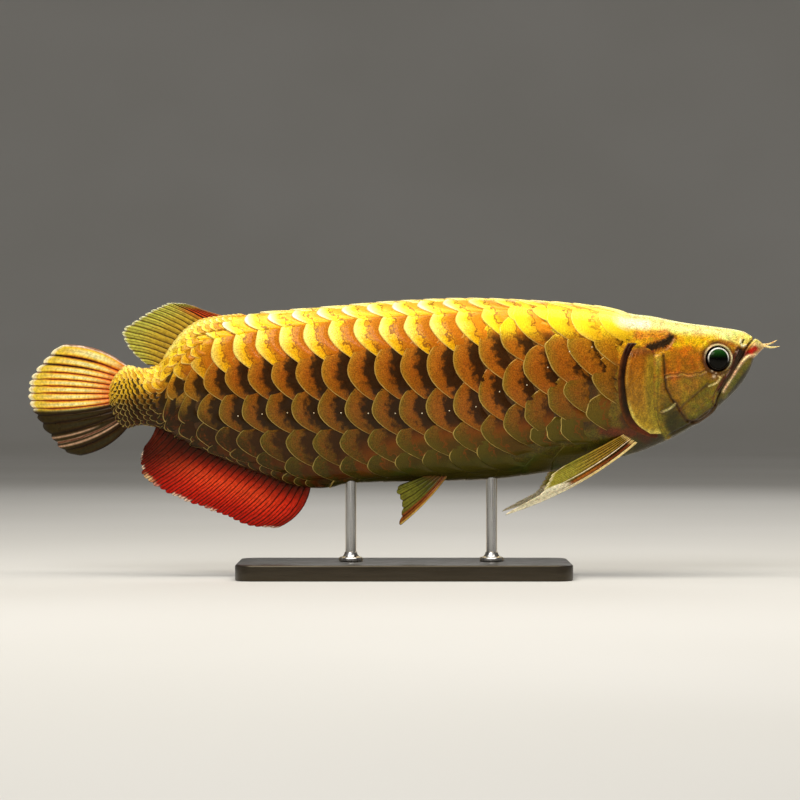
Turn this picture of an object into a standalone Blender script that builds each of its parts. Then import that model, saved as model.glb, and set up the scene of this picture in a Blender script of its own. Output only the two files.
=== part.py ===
"""A life-size Asian arowana in a swimming pose, held over a flat base by two short rods.

Everything is in metres. +X runs from the tail to the snout, +Z is up, and the right side faces -Y.
The origin is under the middle of the whole model, on the surface that the base stands on.
"""

import math
from bisect import bisect
from functools import lru_cache

import bmesh
import bpy
import numpy as np
from mathutils import Matrix, Vector

MM = 0.001
GAP = 0.3 * MM
SIDES = {"right": -1, "left": 1}

# The outline of head and body in the side view, as (x, z) in millimetres, from the jaw tip to the tail root
BACK_LINE = (
    (271.5, 174.4), (268.5, 177.4), (262.5, 181.0), (255.0, 185.2), (237.0, 188.3), (207.0, 192.0),
    (177.0, 197.3), (147.0, 202.9), (102.0, 207.0), (50.0, 209.0), (0.0, 207.2), (-63.0, 202.1),
    (-120.0, 197.3), (-150.0, 193.6), (-163.0, 186.5), (-176.0, 171.0), (-184.5, 158.6),
    (-196.0, 156.4), (-208.0, 158.6), (-215.0, 153.5), (-220.0, 145.5), (-222.5, 138.0),
)
BELLY_LINE = (
    (271.5, 173.4), (268.5, 170.2), (264.3, 166.0), (259.5, 154.5), (252.0, 143.3), (240.8, 132.0),
    (227.3, 120.0), (197.3, 102.8), (167.3, 91.5), (117.0, 81.0), (57.0, 73.9), (0.0, 72.6),
    (-40.0, 71.6), (-62.0, 67.0), (-78.0, 68.0), (-108.0, 78.0), (-138.0, 89.3), (-168.0, 103.9),
    (-187.0, 114.0), (-198.0, 115.5), (-209.0, 113.2), (-215.5, 118.5), (-220.0, 128.5), (-222.5, 136.0),
)

# Half of the width in the top view, as (x, half width) in millimetres
HALF_WIDTH = (
    (271.5, 0.8), (270.0, 3.6), (267.0, 5.9), (262.0, 8.4), (252.0, 11.6), (238.0, 14.8), (222.0, 17.6),
    (200.0, 20.6), (172.0, 22.8), (150.0, 25.2), (115.0, 26.6), (60.0, 26.4), (10.0, 25.0),
    (-40.0, 22.2), (-90.0, 18.0), (-130.0, 13.8), (-165.0, 9.9), (-188.0, 7.6), (-205.0, 5.8),
    (-216.0, 4.2), (-221.0, 2.6), (-222.5, 1.0),
)

# How high the widest level lies, as a share of the depth, and how boxy each half of the section is
WIDEST_SHARE = ((271.5, 0.5), (245.0, 0.6), (190.0, 0.6), (120.0, 0.56), (-60.0, 0.55), (-222.5, 0.5))
UPPER_ROUNDNESS = (
    (271.5, 2.0), (250.0, 2.6), (215.0, 3.0), (160.0, 2.7), (60.0, 2.4), (-100.0, 2.1), (-222.5, 2.0),
)
LOWER_ROUNDNESS = ((271.5, 2.0), (240.0, 2.1), (180.0, 1.9), (0.0, 1.85), (-100.0, 1.9), (-222.5, 2.0))
SNOUT_X = 271.5
TAIL_ROOT_X = -222.5

# Where the body is parted: the gill line slopes, the other two cuts are upright
GILL_CUT_X = 168.0
GILL_CUT_Z = 160.0
GILL_CUT_SLOPE = -0.197
VENT_CUT_X = -63.0
STALK_CUT_X = -188.0
HALF_GAP = GAP / MM / 2
BLOCK_ENDS = (20.0, 240.0)

# The scales: rings of twelve rows, the first on the back's midline, each row half a scale behind the last
ROW_ANGLES = ((0, 0.0), (1, 45.0), (2, 77.0), (3, 102.0), (4, 125.0), (5, 147.0), (6, 180.0))
ROWS = 12
SCALE_LENGTH = ((200.0, 18.5), (60.0, 20.0), (-60.0, 19.4), (-120.0, 16.5), (-222.5, 10.5))
SCALES_FROM_X = 192.0
SCALES_TO_X = -212.0
SCALE_STEP_SHARE = 0.075
LEAST_STEP = 0.15
CORNER_SHARE = 0.4
CORNER_AHEAD = 0.23

MOUTH_LINE = (
    (262.9, 179.9), (258.0, 174.4), (253.5, 169.1), (248.3, 162.4), (242.3, 154.5), (236.3, 145.5),
    (231.8, 136.5), (230.3, 129.8),
)
JAW_REACH_X = 300.0
LIP_RADIUS = 1.1

HEAD_STEPS, HEAD_AROUND = 28, 28
STALK_STEPS, STALK_AROUND = 20, 24
EYE_X, EYE_Z = 234.0, 165.2
EYE_RADIUS = 10.5
EYE_DEPTH = 6.0
EYE_SUNK = 2.5
RIM_RADIUS = 10.7
RIM_THICKNESS = 1.3
NOSTRILS = ((257.0, 178.6, 0.9), (251.3, 178.4, 1.3))

GILL_COVER_TOP_Z = 175.5
GILL_COVER_BOTTOM_Z = 108.0
GILL_COVER_REAR = (
    (0.0, 173.5), (0.06, 169.6), (0.2, 165.9), (0.4, 164.2), (0.62, 165.9), (0.78, 169.0), (0.9, 174.5),
    (1.0, 185.0),
)
GILL_COVER_FRONT = (
    (0.0, 182.0), (0.06, 186.5), (0.16, 188.6), (0.4, 187.6), (0.62, 187.9), (0.78, 189.6), (0.9, 192.6),
    (1.0, 194.5),
)
GILL_COVER_EDGE = 0.8
GILL_COVER_DOME = 1.4
GILL_COVER_ROWS, GILL_COVER_COLUMNS = 12, 7

BARBEL_ROOT = (268.5, 2.4, 175.2)
BARBEL_TIPS = {"right": (282.75, 4.2, 173.9), "left": (281.8, 3.4, 178.9)}
BARBEL_RADIUS = 0.95

# The fins from the first ray (0) to the last (1): the x of the root, and the x and z of the outer edge
DORSAL_ROOT_X = (
    (0.0, -121.0), (0.15, -132.5), (0.35, -147.8), (0.5, -159.0),
    (0.65, -167.3), (0.75, -172.5), (0.85, -177.0),
    (1.0, -183.5),
)
DORSAL_MARGIN = (
    (0.0, -160.0, 205.0), (0.15, -168.5, 206.8), (0.3, -175.5, 206.8),
    (0.45, -186.0, 203.0), (0.55, -193.5, 198.8),
    (0.65, -203.0, 193.0), (0.75, -212.3, 184.8), (0.85, -209.0, 175.0),
    (0.93, -202.0, 166.8), (1.0, -193.5, 159.8),
)
DORSAL_BOW = ((0.0, -1.4), (0.3, 0.8), (1.0, 1.5))
ANAL_ROOT_X = ((0.0, -69.8), (0.2, -93.0), (0.4, -116.3), (0.6, -140.3), (0.8, -164.3), (1.0, -186.0))
ANAL_MARGIN = (
    (0.0, -95.3, 37.1), (0.1, -112.5, 37.9), (0.2, -126.8, 43.1), (0.4, -150.8, 52.5), (0.6, -177.0, 63.0),
    (0.8, -197.3, 78.8), (0.9, -198.4, 88.5), (1.0, -195.8, 98.3),
)
ANAL_BOW = ((0.0, -6.0), (0.3, -1.5), (1.0, -1.5))
TAIL_FIN_ROOT = (
    (0.0, -207.8, 158.0), (0.15, -215.0, 153.0), (0.3, -219.5, 146.5),
    (0.5, -222.0, 137.3), (0.7, -219.8, 128.0),
    (0.85, -216.0, 120.5), (1.0, -209.0, 114.0),
)
TAIL_FIN_MARGIN = (
    (0.0, -258.0, 175.1), (0.1, -267.8, 167.3), (0.25, -277.5, 155.3),
    (0.4, -282.4, 144.8), (0.5, -282.75, 137.3),
    (0.6, -281.3, 129.0), (0.72, -276.0, 119.3), (0.85, -265.5, 103.5),
    (0.95, -256.0, 94.5), (1.0, -246.0, 91.2),
)
TAIL_FIN_BOW = ((0.0, 6.2), (0.12, 3.2), (0.3, 2.2), (0.5, 0.0), (0.62, -2.0), (0.8, -2.6), (1.0, -5.2))
TAIL_FIN_CURL = 9.0
PECTORAL_ROOT = ((0.0, 174.8, 101.3), (1.0, 163.5, 107.6))
PECTORAL_MARGIN = (
    (0.0, 72.0, 47.3), (0.2, 84.0, 54.2), (0.35, 94.5, 59.4), (0.5, 102.0, 64.6), (0.7, 106.5, 71.3),
    (0.85, 108.8, 76.9), (1.0, 117.0, 83.3),
)
PECTORAL_BOW = 6.0
PECTORAL_SPREAD = 30.0
PELVIC_ROOT_X = ((0.0, 33.8), (1.0, 18.0))
PELVIC_MARGIN = (
    (0.0, -4.5, 38.3), (0.2, -2.3, 45.8), (0.4, -1.5, 53.3),
    (0.6, -3.0, 60.0), (0.8, -5.3, 65.3), (1.0, -3.8, 69.0),
)
PELVIC_ROOT_Y = 6.0
PELVIC_SPREAD = 10.0
FIN_CLEARANCE = 0.38
MEMBRANE_REACH = 0.965
MEMBRANE_THICKNESS = 0.6
RAY_TIP_THICKNESS = 0.9

BASE_LENGTH, BASE_WIDTH, BASE_THICKNESS = 250.0, 116.0, 12.0
BASE_EDGE = 1.5
BASE_CORNER_RADIUS = 14.0
ROD_RADIUS = 4.0
ROD_PLACES = {"front": 66.0, "rear": -40.0}
ROD_SUNK = 6.0


@lru_cache(maxsize=None)
def smooth_line(points):
    """Places, values and tangents of a smooth line through (place, value) pairs, with no overshoot."""
    places, values = np.array(sorted(points)).T
    slopes = np.diff(values) / np.diff(places)
    before, after = slopes[:-1], slopes[1:]
    same_way = before * after > 0
    total = np.where(same_way, before + after, 1.0)
    inner = np.where(same_way, 2 * before * after / total, 0.0)
    tangents = np.concatenate(([slopes[0]], inner, [slopes[-1]]))
    return places.tolist(), values.tolist(), tangents.tolist()


def through(points, at):
    """The value at one place of the smooth line through (place, value) pairs."""
    places, values, tangents = smooth_line(points)
    i = min(max(bisect(places, at) - 1, 0), len(places) - 2)
    span = places[i + 1] - places[i]
    t = min(max((at - places[i]) / span, 0.0), 1.0)
    return (
        values[i] * (1 + 2 * t) * (1 - t) ** 2
        + tangents[i] * span * t * (1 - t) ** 2
        + values[i + 1] * t * t * (3 - 2 * t)
        + tangents[i + 1] * span * t * t * (t - 1)
    )


def ease(share):
    """0 below 0, 1 above 1, and a smooth step between."""
    share = min(max(share, 0.0), 1.0)
    return share * share * (3 - 2 * share)


@lru_cache(maxsize=None)
def section(x):
    """The body's section at x: top, bottom, half width, widest level and its two roundnesses."""
    top, bottom = through(BACK_LINE, x), through(BELLY_LINE, x)
    level = bottom + through(WIDEST_SHARE, x) * (top - bottom)
    roundnesses = through(UPPER_ROUNDNESS, x), through(LOWER_ROUNDNESS, x)
    return top, bottom, through(HALF_WIDTH, x), level, *roundnesses


def skin(x, angle):
    """The point of the smooth body at x, at an angle from the back's midline down the right side."""
    top, bottom, half, level, upper, lower = section(x)
    c, s = math.cos(angle), math.sin(angle)
    power, height = (2 / upper, top - level) if c > 0 else (2 / lower, level - bottom)
    y = -half * math.copysign(abs(s) ** power, s)
    z = level + height * math.copysign(abs(c) ** power, c)
    return Vector((x, y, z))


def lifted(x, angle, lift):
    """A point of the body pushed out along its normal, in millimetres."""
    along = skin(min(x + 0.4, SNOUT_X), angle) - skin(max(x - 0.4, TAIL_ROOT_X), angle)
    around = skin(x, angle + 0.01) - skin(x, angle - 0.01)
    return skin(x, angle) + around.cross(along).normalized() * lift


def side_angle(x, z):
    """The angle at which the right side of the section at x reaches the height z."""
    top, bottom, _, level, upper, lower = section(x)
    if z > level:
        share = min((z - level) / (top - level), 1.0)
        return math.acos(share ** (upper / 2))
    share = min((level - z) / (level - bottom), 1.0)
    return math.pi - math.acos(share ** (lower / 2))


def on_side(x, z, lift=0.0, side=-1):
    """The point of the right or left side at x and z, pushed out by a lift."""
    point = lifted(x, side_angle(x, z), lift)
    point.y = side * abs(point.y)
    return point


def row_angle(row):
    """The angle of a scale row, which may be a fraction, counted from the back's midline round the body."""
    row %= ROWS
    if row <= ROWS / 2:
        return math.radians(through(ROW_ANGLES, row))
    return 2 * math.pi - math.radians(through(ROW_ANGLES, ROWS - row))


def material(name, colour, roughness, metallic=0.0):
    made = bpy.data.materials.new(name)
    made.use_nodes = True
    shader = made.node_tree.nodes["Principled BSDF"]
    shader.inputs["Base Color"].default_value = (*colour, 1.0)
    shader.inputs["Roughness"].default_value = roughness
    shader.inputs["Metallic"].default_value = metallic
    return made


def mesh_object(name, points, faces, finish):
    """An object from points in millimetres, with its faces turned outwards."""
    mesh = bpy.data.meshes.new(name)
    mesh.from_pydata([Vector(p) * MM for p in points], [], faces)
    bm = bmesh.new()
    bm.from_mesh(mesh)
    bmesh.ops.recalc_face_normals(bm, faces=bm.faces)
    bm.to_mesh(mesh)
    bm.free()
    mesh.materials.append(finish)
    obj = bpy.data.objects.new(name, mesh)
    bpy.context.scene.collection.objects.link(obj)
    return obj


def shade(obj, sharp_degrees=35.0):
    obj.data.shade_smooth()
    obj.data.set_sharp_from_angle(angle=math.radians(sharp_degrees))


def apply_modifiers(obj):
    bpy.context.view_layer.update()
    graph = bpy.context.evaluated_depsgraph_get()
    obj.data = bpy.data.meshes.new_from_object(obj.evaluated_get(graph))
    obj.modifiers.clear()


def combine(obj, others, operation):
    """Joins the other closed objects to this one, or cuts them from it, and removes them."""
    group = bpy.data.collections.new(obj.name + "_" + operation.lower())
    bpy.context.scene.collection.children.link(group)
    for other in others:
        group.objects.link(other)
    modifier = obj.modifiers.new(operation.title(), "BOOLEAN")
    modifier.operation = operation
    modifier.operand_type = "COLLECTION"
    modifier.collection = group
    apply_modifiers(obj)
    for other in others:
        bpy.data.objects.remove(other)
    bpy.data.collections.remove(group)
    keep_largest(obj)
    return obj


def keep_largest(obj):
    """Keeps only the largest closed surface of an object."""
    bm = bmesh.new()
    bm.from_mesh(obj.data)
    left, surfaces = set(bm.faces), []
    while left:
        reached, edge_of_search = set(), [left.pop()]
        while edge_of_search:
            face = edge_of_search.pop()
            reached.add(face)
            near = {other for edge in face.edges for other in edge.link_faces} & left
            left -= near
            edge_of_search += near
        surfaces.append(reached)
    surfaces.sort(key=lambda faces: sum(face.calc_area() for face in faces))
    loose = [face for faces in surfaces[:-1] for face in faces]
    bmesh.ops.delete(bm, geom=loose, context="FACES")
    bm.to_mesh(obj.data)
    bm.free()


def keep_inside(obj, block):
    """Keeps only what lies inside a closed block, and removes the block."""
    modifier = obj.modifiers.new("Part", "BOOLEAN")
    modifier.operation = "INTERSECT"
    modifier.object = block
    apply_modifiers(obj)
    bpy.data.objects.remove(block)
    keep_largest(obj)
    return obj


def rings_closed(rings):
    """Points and faces of a closed body through rings of equal count, with a fan at each end."""
    count = len(rings[0])
    points = [p for ring in rings for p in ring]
    faces = []
    for r in range(len(rings) - 1):
        for k in range(count):
            a, b = r * count + k, r * count + (k + 1) % count
            faces.append((a, b, b + count, a + count))
    for ring, start in ((rings[0], 0), (rings[-1], (len(rings) - 1) * count)):
        points.append(sum((Vector(p) for p in ring), Vector()) / count)
        faces += [(start + k, start + (k + 1) % count, len(points) - 1) for k in range(count)]
    return points, faces


def prism(name, outline, finish, half_depth=60.0):
    """A block with a side-view outline of (x, z) points, through the whole width of the body."""
    rings = [[(x, y, z) for x, z in outline] for y in (-half_depth, half_depth)]
    count = len(outline)
    faces = [(k, (k + 1) % count, (k + 1) % count + count, k + count) for k in range(count)]
    faces += [tuple(range(count)), tuple(range(count, 2 * count))]
    return mesh_object(name, rings[0] + rings[1], faces, finish)


def tube(name, path, radii, finish, around=6):
    """A closed round bar along a path, with a radius for each of its points."""
    rings = []
    for i, point in enumerate(path):
        ahead = Vector(path[min(i + 1, len(path) - 1)]) - Vector(path[max(i - 1, 0)])
        turn = ahead.to_track_quat("Z", "Y")
        ring = []
        for k in range(around):
            a = 2 * math.pi * k / around
            ring.append(Vector(point) + turn @ Vector((math.cos(a), math.sin(a), 0)) * radii[i])
        rings.append(ring)
    return mesh_object(name, *rings_closed(rings), finish)


def body_shell(name, from_x, to_x, finish, steps, around, lift=0.0, bunch=1.0):
    """A smooth closed length of the body. A bunch above 1 sets the rings closer together near to_x."""
    rings = []
    for i in range(steps + 1):
        x = to_x + (from_x - to_x) * (1 - i / steps) ** bunch
        rings.append([lifted(x, 2 * math.pi * k / around, lift) for k in range(around)])
    return mesh_object(name, *rings_closed(rings), finish)


def head_shell(finish, lift=0.0):
    return body_shell("head", 140.0, SNOUT_X, finish, HEAD_STEPS, HEAD_AROUND, lift, bunch=1.35)


def stalk_shell(finish, lift=0.0):
    return body_shell("tail_stalk", -170.0, TAIL_ROOT_X, finish, STALK_STEPS, STALK_AROUND, lift, bunch=1.3)


def gill_cut(shift):
    """The x of the gill line where it meets the low and the high end of a dividing block."""
    return tuple(GILL_CUT_X + GILL_CUT_SLOPE * (z - GILL_CUT_Z) + shift for z in BLOCK_ENDS)


def upright_cut(x):
    return (x, x)


def slab_between(name, front, rear, finish):
    """A block between two side-view cuts, each given as its x at the low and at the high end."""
    low, high = BLOCK_ENDS
    outline = ((rear[0], low), (front[0], low), (front[1], high), (rear[1], high))
    return prism(name, outline, finish)


def scale_columns():
    """The x of each scale column, from the rear to the front."""
    columns = [SCALES_TO_X]
    while columns[-1] < SCALES_FROM_X:
        columns.append(columns[-1] + through(SCALE_LENGTH, columns[-1]))
    return columns


def step_height(x, row):
    """How far a scale's rear edge stands proud: least by the gills, fin roots and belly keel."""
    full = SCALE_STEP_SHARE * through(SCALE_LENGTH, x)
    from_back = min(row % ROWS, ROWS - row % ROWS)
    from_keel = ROWS / 2 - from_back
    behind_gills = ease((152.0 - x) / 14.0)
    off_back = max(ease((x + 112.0) / 12.0), ease((from_back - 0.45) / 0.6))
    off_keel = ease((from_keel - 0.5) / 0.9)
    return max(LEAST_STEP, full * behind_gills * off_back * off_keel)


def scaled_shell(finish, lift=0.0):
    """The closed body with every scale as a tilted plate whose rear edge steps down onto the scales behind.

    Each scale owns three places: the tip of its rear edge, and an upper and a lower corner where the edge of a
    scale from the next row runs under it. A corner has three levels, for the three scales that meet there.
    """
    columns = scale_columns()
    levels = {"tip": (1.0, 0.2), "up": (0.86, 0.68, 0.06), "low": (0.86, 0.68, 0.06)}
    points, index = [], {}
    for i in range(len(columns) - 1):
        for row in range(ROWS):
            for place, shares in levels.items():
                aside = {"tip": 0.0, "up": -CORNER_SHARE, "low": CORNER_SHARE}[place]
                ahead = (row % 2) * 0.5 + (0.0 if place == "tip" else CORNER_AHEAD)
                x = columns[i] + ahead * (columns[i + 1] - columns[i])
                for level, share in enumerate(shares):
                    height = share * step_height(x, row + aside) + lift
                    index[i, row, place, level] = len(points)
                    points.append(lifted(x, row_angle(row + aside), height))
    faces = []
    for i in range(len(columns) - 1):
        for row in range(ROWS):
            faces += scale_faces(i, row, index)
    shell = mesh_object("body", points, faces, finish)
    close_ends(shell)
    return shell


def scale_faces(i, row, index):
    """The faces of one scale, or none where a scale that it needs lies past the end."""
    ahead = i + row % 2
    above, below = (row - 1) % ROWS, (row + 1) % ROWS
    try:
        tip, tip_foot = index[i, row, "tip", 0], index[i, row, "tip", 1]
        up, up_mid, up_foot = (index[i, row, "up", level] for level in range(3))
        low, low_mid, low_foot = (index[i, row, "low", level] for level in range(3))
        up_end, up_end_foot = index[ahead, above, "low", 1], index[ahead, above, "low", 2]
        low_end, low_end_foot = index[ahead, below, "up", 1], index[ahead, below, "up", 2]
        next_tip = index[i + 1, row, "tip", 1]
        next_up, next_low = index[i + 1, row, "up", 2], index[i + 1, row, "low", 2]
    except KeyError:
        return []
    plate = [(low, tip, next_tip), (low, next_tip, next_low), (low_end, low, next_low)]
    plate += [(tip, up, next_tip), (up, next_up, next_tip), (up, up_end, next_up)]
    edge = [(low_end, low_end_foot, low_mid), (low_end, low_mid, low)]
    edge += [(low, low_mid, tip), (low_mid, low_foot, tip_foot), (low_mid, tip_foot, tip)]
    edge += [(tip, up_mid, up), (tip, tip_foot, up_mid), (tip_foot, up_foot, up_mid)]
    edge += [(up, up_mid, up_end_foot), (up, up_end_foot, up_end)]
    return plate + edge


def close_ends(shell):
    """Draws each open end of the shell out to a flat ring, and fills it."""
    bm = bmesh.new()
    bm.from_mesh(shell.data)
    for end, x in ((1, (SCALES_FROM_X + 16.0) * MM), (-1, (SCALES_TO_X - 6.0) * MM)):
        rim = [e for e in bm.edges if e.is_boundary and e.verts[0].co.x * end > 0]
        drawn = bmesh.ops.extrude_edge_only(bm, edges=rim)["geom"]
        for v in drawn:
            if isinstance(v, bmesh.types.BMVert):
                v.co.x = x
        flat = [e for e in drawn if isinstance(e, bmesh.types.BMEdge) and e.is_boundary]
        bmesh.ops.holes_fill(bm, edges=flat)
    bmesh.ops.recalc_face_normals(bm, faces=bm.faces)
    bm.to_mesh(shell.data)
    bm.free()


def fin_object(name, ray_point, rays, steps, sunk, root_thickness, finish, side=1):
    """A closed fin. Its rays are ridges in its own surface, and its membrane ends short of their tips.

    ray_point(t, s) is the fin's middle surface: t runs from the first ray to the last, and s along a ray, from
    0 on the body to 1 at its tip. The root is sunk in the body by a share of each ray's length.
    """
    columns = 2 * rays - 1
    grid = []
    for c in range(columns):
        on_ray = c % 2 == 0
        reach = 1.0 if on_ray else MEMBRANE_REACH
        shares = [-sunk + (reach + sunk) * i / steps for i in range(steps + 1)]
        grid.append([ray_point(c / (columns - 1), share) for share in shares])
    points = [[], []]
    for c in range(columns):
        for i in range(steps + 1):
            along = grid[c][min(i + 1, steps)] - grid[c][max(i - 1, 0)]
            across = grid[min(c + 1, columns - 1)][i] - grid[max(c - 1, 0)][i]
            normal = across.cross(along).normalized()
            share = max(0.0, -sunk + (1 + sunk) * i / steps)
            half = fin_thickness(root_thickness, share, c % 2 == 0) / 2
            for face, way in enumerate((1, -1)):
                point = grid[c][i] + normal * half * way
                points[face].append(Vector((point.x, point.y * side, point.z)))
    shift = len(points[0])
    faces = []
    for c in range(columns - 1):
        for i in range(steps):
            a = c * (steps + 1) + i
            b, d = a + 1, a + steps + 1
            for base in (0, shift):
                faces += [(a + base, b + base, d + base), (b + base, d + 1 + base, d + base)]
    rim = [c * (steps + 1) for c in range(columns)]
    rim += [(columns - 1) * (steps + 1) + i for i in range(1, steps + 1)]
    rim += [c * (steps + 1) + steps for c in range(columns - 2, -1, -1)]
    rim += list(range(steps - 1, 0, -1))
    for a, b in zip(rim, rim[1:] + rim[:1]):
        faces += [(a, b, a + shift), (b, b + shift, a + shift)]
    obj = mesh_object(name, points[0] + points[1], faces, finish)
    shade(obj)
    return obj


def fin_thickness(root, s, on_ray):
    """A fin's thickness at s in millimetres: its rays taper, and its membrane starts as thick as they do."""
    ray = root + (RAY_TIP_THICKNESS - root) * s
    return ray if on_ray else ray + (MEMBRANE_THICKNESS - ray) * ease(s / 0.25)


def flat_ray(root, margin, bow, s):
    """The (x, z) at s of a bowed ray. For a ray that runs back towards -X, a bow above 0 lifts its middle."""
    (rx, rz), (mx, mz) = root, margin
    lean = 4 * bow * s * (1 - s) if s > 0 else 0.0
    length = math.hypot(mx - rx, mz - rz)
    nx, nz = (mz - rz) / length, -(mx - rx) / length
    return rx + (mx - rx) * s + nx * lean, rz + (mz - rz) * s + nz * lean


def pick(points, t):
    """The (x, z) at t of a smooth line through (t, x, z) points."""
    return through(tuple((p[0], p[1]) for p in points), t), through(tuple((p[0], p[2]) for p in points), t)


def dorsal_ray(t, s):
    root_x = through(DORSAL_ROOT_X, t)
    x, z = flat_ray((root_x, through(BACK_LINE, root_x)), pick(DORSAL_MARGIN, t), through(DORSAL_BOW, t), s)
    return Vector((x, 0.0, z))


def anal_ray(t, s):
    root_x = through(ANAL_ROOT_X, t)
    x, z = flat_ray((root_x, through(BELLY_LINE, root_x)), pick(ANAL_MARGIN, t), through(ANAL_BOW, t), s)
    return Vector((x, 0.0, z))


def tail_fin_ray(t, s):
    x, z = flat_ray(pick(TAIL_FIN_ROOT, t), pick(TAIL_FIN_MARGIN, t), through(TAIL_FIN_BOW, t), s)
    curl = TAIL_FIN_CURL * max(s, 0.0) ** 2 * ease((t - 0.5) / 0.5)
    return Vector((x, curl, z))


def pectoral_ray(t, s):
    root = pick(PECTORAL_ROOT, t)
    x, z = flat_ray(root, pick(PECTORAL_MARGIN, t), -PECTORAL_BOW * (1 - t), s)
    root_y = abs(on_side(*root).y)
    spread = PECTORAL_SPREAD * (1 - 0.45 * t)
    out = spread * s ** 0.9 if s > 0 else spread * 1.6 * s
    return Vector((x, root_y + out, z))


def pelvic_ray(t, s):
    root_x = through(PELVIC_ROOT_X, t)
    _, bottom, half, level, _, lower = section(root_x)
    root_z = level - (level - bottom) * (1 - (PELVIC_ROOT_Y / half) ** lower) ** (1 / lower)
    x, z = flat_ray((root_x, root_z), pick(PELVIC_MARGIN, t), 0.0, s)
    return Vector((x, PELVIC_ROOT_Y + PELVIC_SPREAD * s, z))


def make_head(finish):
    """The head with lips, eye rims, sockets and nostrils, and the lower jaw parted from it at the mouth."""
    head = head_shell(finish)
    additions = []
    for side_name, side in SIDES.items():
        for lip, aside in (("upper", 0.7), ("lower", -0.7)):
            path = [on_side(x - 0.8 * aside, z + 0.6 * aside, -0.35, side) for x, z in MOUTH_LINE[1:]]
            radii = [LIP_RADIUS * (0.7 if i in (0, len(path) - 1) else 1.0) for i in range(len(path))]
            additions.append(tube(f"lip_{lip}_{side_name}", path, radii, finish))
        additions.append(eye_rim(side, finish))
    combine(head, additions, "UNION")
    cutters = []
    for side in SIDES.values():
        cutters.append(eye_ball("socket", side, finish, GAP / MM))
        for x, z, radius in NOSTRILS:
            inner, outer = on_side(x, z, -2.0, side), on_side(x, z, 2.0, side)
            cutters.append(tube("nostril", [inner, outer], [radius * 0.6, radius], finish, around=8))
    combine(head, cutters, "DIFFERENCE")
    jaw = head.copy()
    jaw.data = head.data.copy()
    jaw.name = "lower_jaw"
    bpy.context.scene.collection.objects.link(jaw)
    keep_inside(jaw, prism("jaw_block", jaw_outline(0.0), finish))
    combine(head, [prism("jaw_space", jaw_outline(GAP / MM), finish)], "DIFFERENCE")
    keep_inside(head, slab_between("head_block", upright_cut(JAW_REACH_X), gill_cut(HALF_GAP), finish))


def jaw_outline(grow):
    """The side-view outline of the lower jaw's space: the mouth line, closed well outside the head."""
    edge = [(x - grow * 0.8, z + grow * 0.7) for x, z in MOUTH_LINE]
    rear = [(229.4 - grow, 122.0), (226.0 - grow, 108.0)]
    return [(269.0, 186.0 + grow)] + edge + rear + [(JAW_REACH_X, 108.0), (JAW_REACH_X, 186.0 + grow)]


def eye_frame(side):
    """The centre and outward direction of an eye."""
    direction = on_side(EYE_X, EYE_Z, 1.0, side) - on_side(EYE_X, EYE_Z, 0.0, side)
    return on_side(EYE_X, EYE_Z, 0.0, side) - direction * EYE_SUNK, direction.normalized()


def eye_ball(name, side, finish, grow=0.0):
    centre, direction = eye_frame(side)
    bm = bmesh.new()
    bmesh.ops.create_uvsphere(bm, u_segments=18, v_segments=10, radius=1.0)
    stretch = Matrix.Diagonal((EYE_RADIUS + grow, EYE_RADIUS + grow, EYE_DEPTH + grow, 1.0))
    turn = direction.to_track_quat("Z", "Y").to_matrix().to_4x4()
    bm.transform(Matrix.Translation(centre) @ turn @ stretch)
    points = [v.co.copy() for v in bm.verts]
    faces = [[v.index for v in f.verts] for f in bm.faces]
    bm.free()
    ball = mesh_object(name, points, faces, finish)
    shade(ball, 60.0)
    return ball


def eye_rim(side, finish):
    """A low round ring on the skin about the eye."""
    centre, direction = eye_frame(side)
    centre = centre + direction * (EYE_SUNK - 0.4)
    turn = direction.to_track_quat("Z", "Y")
    around, ring = 24, 6
    points, faces = [], []
    for i in range(around):
        a = 2 * math.pi * i / around
        for k in range(ring):
            b = 2 * math.pi * k / ring
            out = RIM_RADIUS + RIM_THICKNESS * math.cos(b)
            aside = Vector((out * math.cos(a), out * math.sin(a), RIM_THICKNESS * math.sin(b)))
            points.append(centre + turn @ aside)
            n, m = (i + 1) % around, (k + 1) % ring
            faces.append((i * ring + k, n * ring + k, n * ring + m, i * ring + m))
    return mesh_object("eye_rim", points, faces, finish)


def gill_cover(side_name, side, finish):
    """The bony plate over the gills: thin at its edges, domed in the middle, and clear of the skin below."""
    rows, columns = GILL_COVER_ROWS, GILL_COVER_COLUMNS
    faces_of_plate = [[], []]
    for r in range(rows + 1):
        down = r / rows
        z = GILL_COVER_TOP_Z + (GILL_COVER_BOTTOM_Z - GILL_COVER_TOP_Z) * down
        rear, front = through(GILL_COVER_REAR, down), through(GILL_COVER_FRONT, down)
        for c in range(columns + 1):
            across = c / columns
            x = rear + (front - rear) * across
            dome = (math.sin(math.pi * down) * math.sin(math.pi * across)) ** 0.5
            under = GAP / MM + LEAST_STEP
            faces_of_plate[0].append(on_side(x, z, under, side))
            faces_of_plate[1].append(on_side(x, z, under + GILL_COVER_EDGE + GILL_COVER_DOME * dome, side))
    shift, width = (rows + 1) * (columns + 1), columns + 1
    faces = []
    for r in range(rows):
        for c in range(columns):
            a = r * width + c
            for base in (0, shift):
                faces += [(a + base, a + 1 + base, a + width + base)]
                faces += [(a + 1 + base, a + width + 1 + base, a + width + base)]
    rim = list(range(columns)) + [r * width + columns for r in range(rows)]
    rim += [rows * width + c for c in range(columns, 0, -1)] + [r * width for r in range(rows, 0, -1)]
    for a, b in zip(rim, rim[1:] + rim[:1]):
        faces += [(a, b, a + shift), (b, b + shift, a + shift)]
    plate = mesh_object("gill_cover_" + side_name, faces_of_plate[0] + faces_of_plate[1], faces, finish)
    shade(plate)
    return plate


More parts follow.
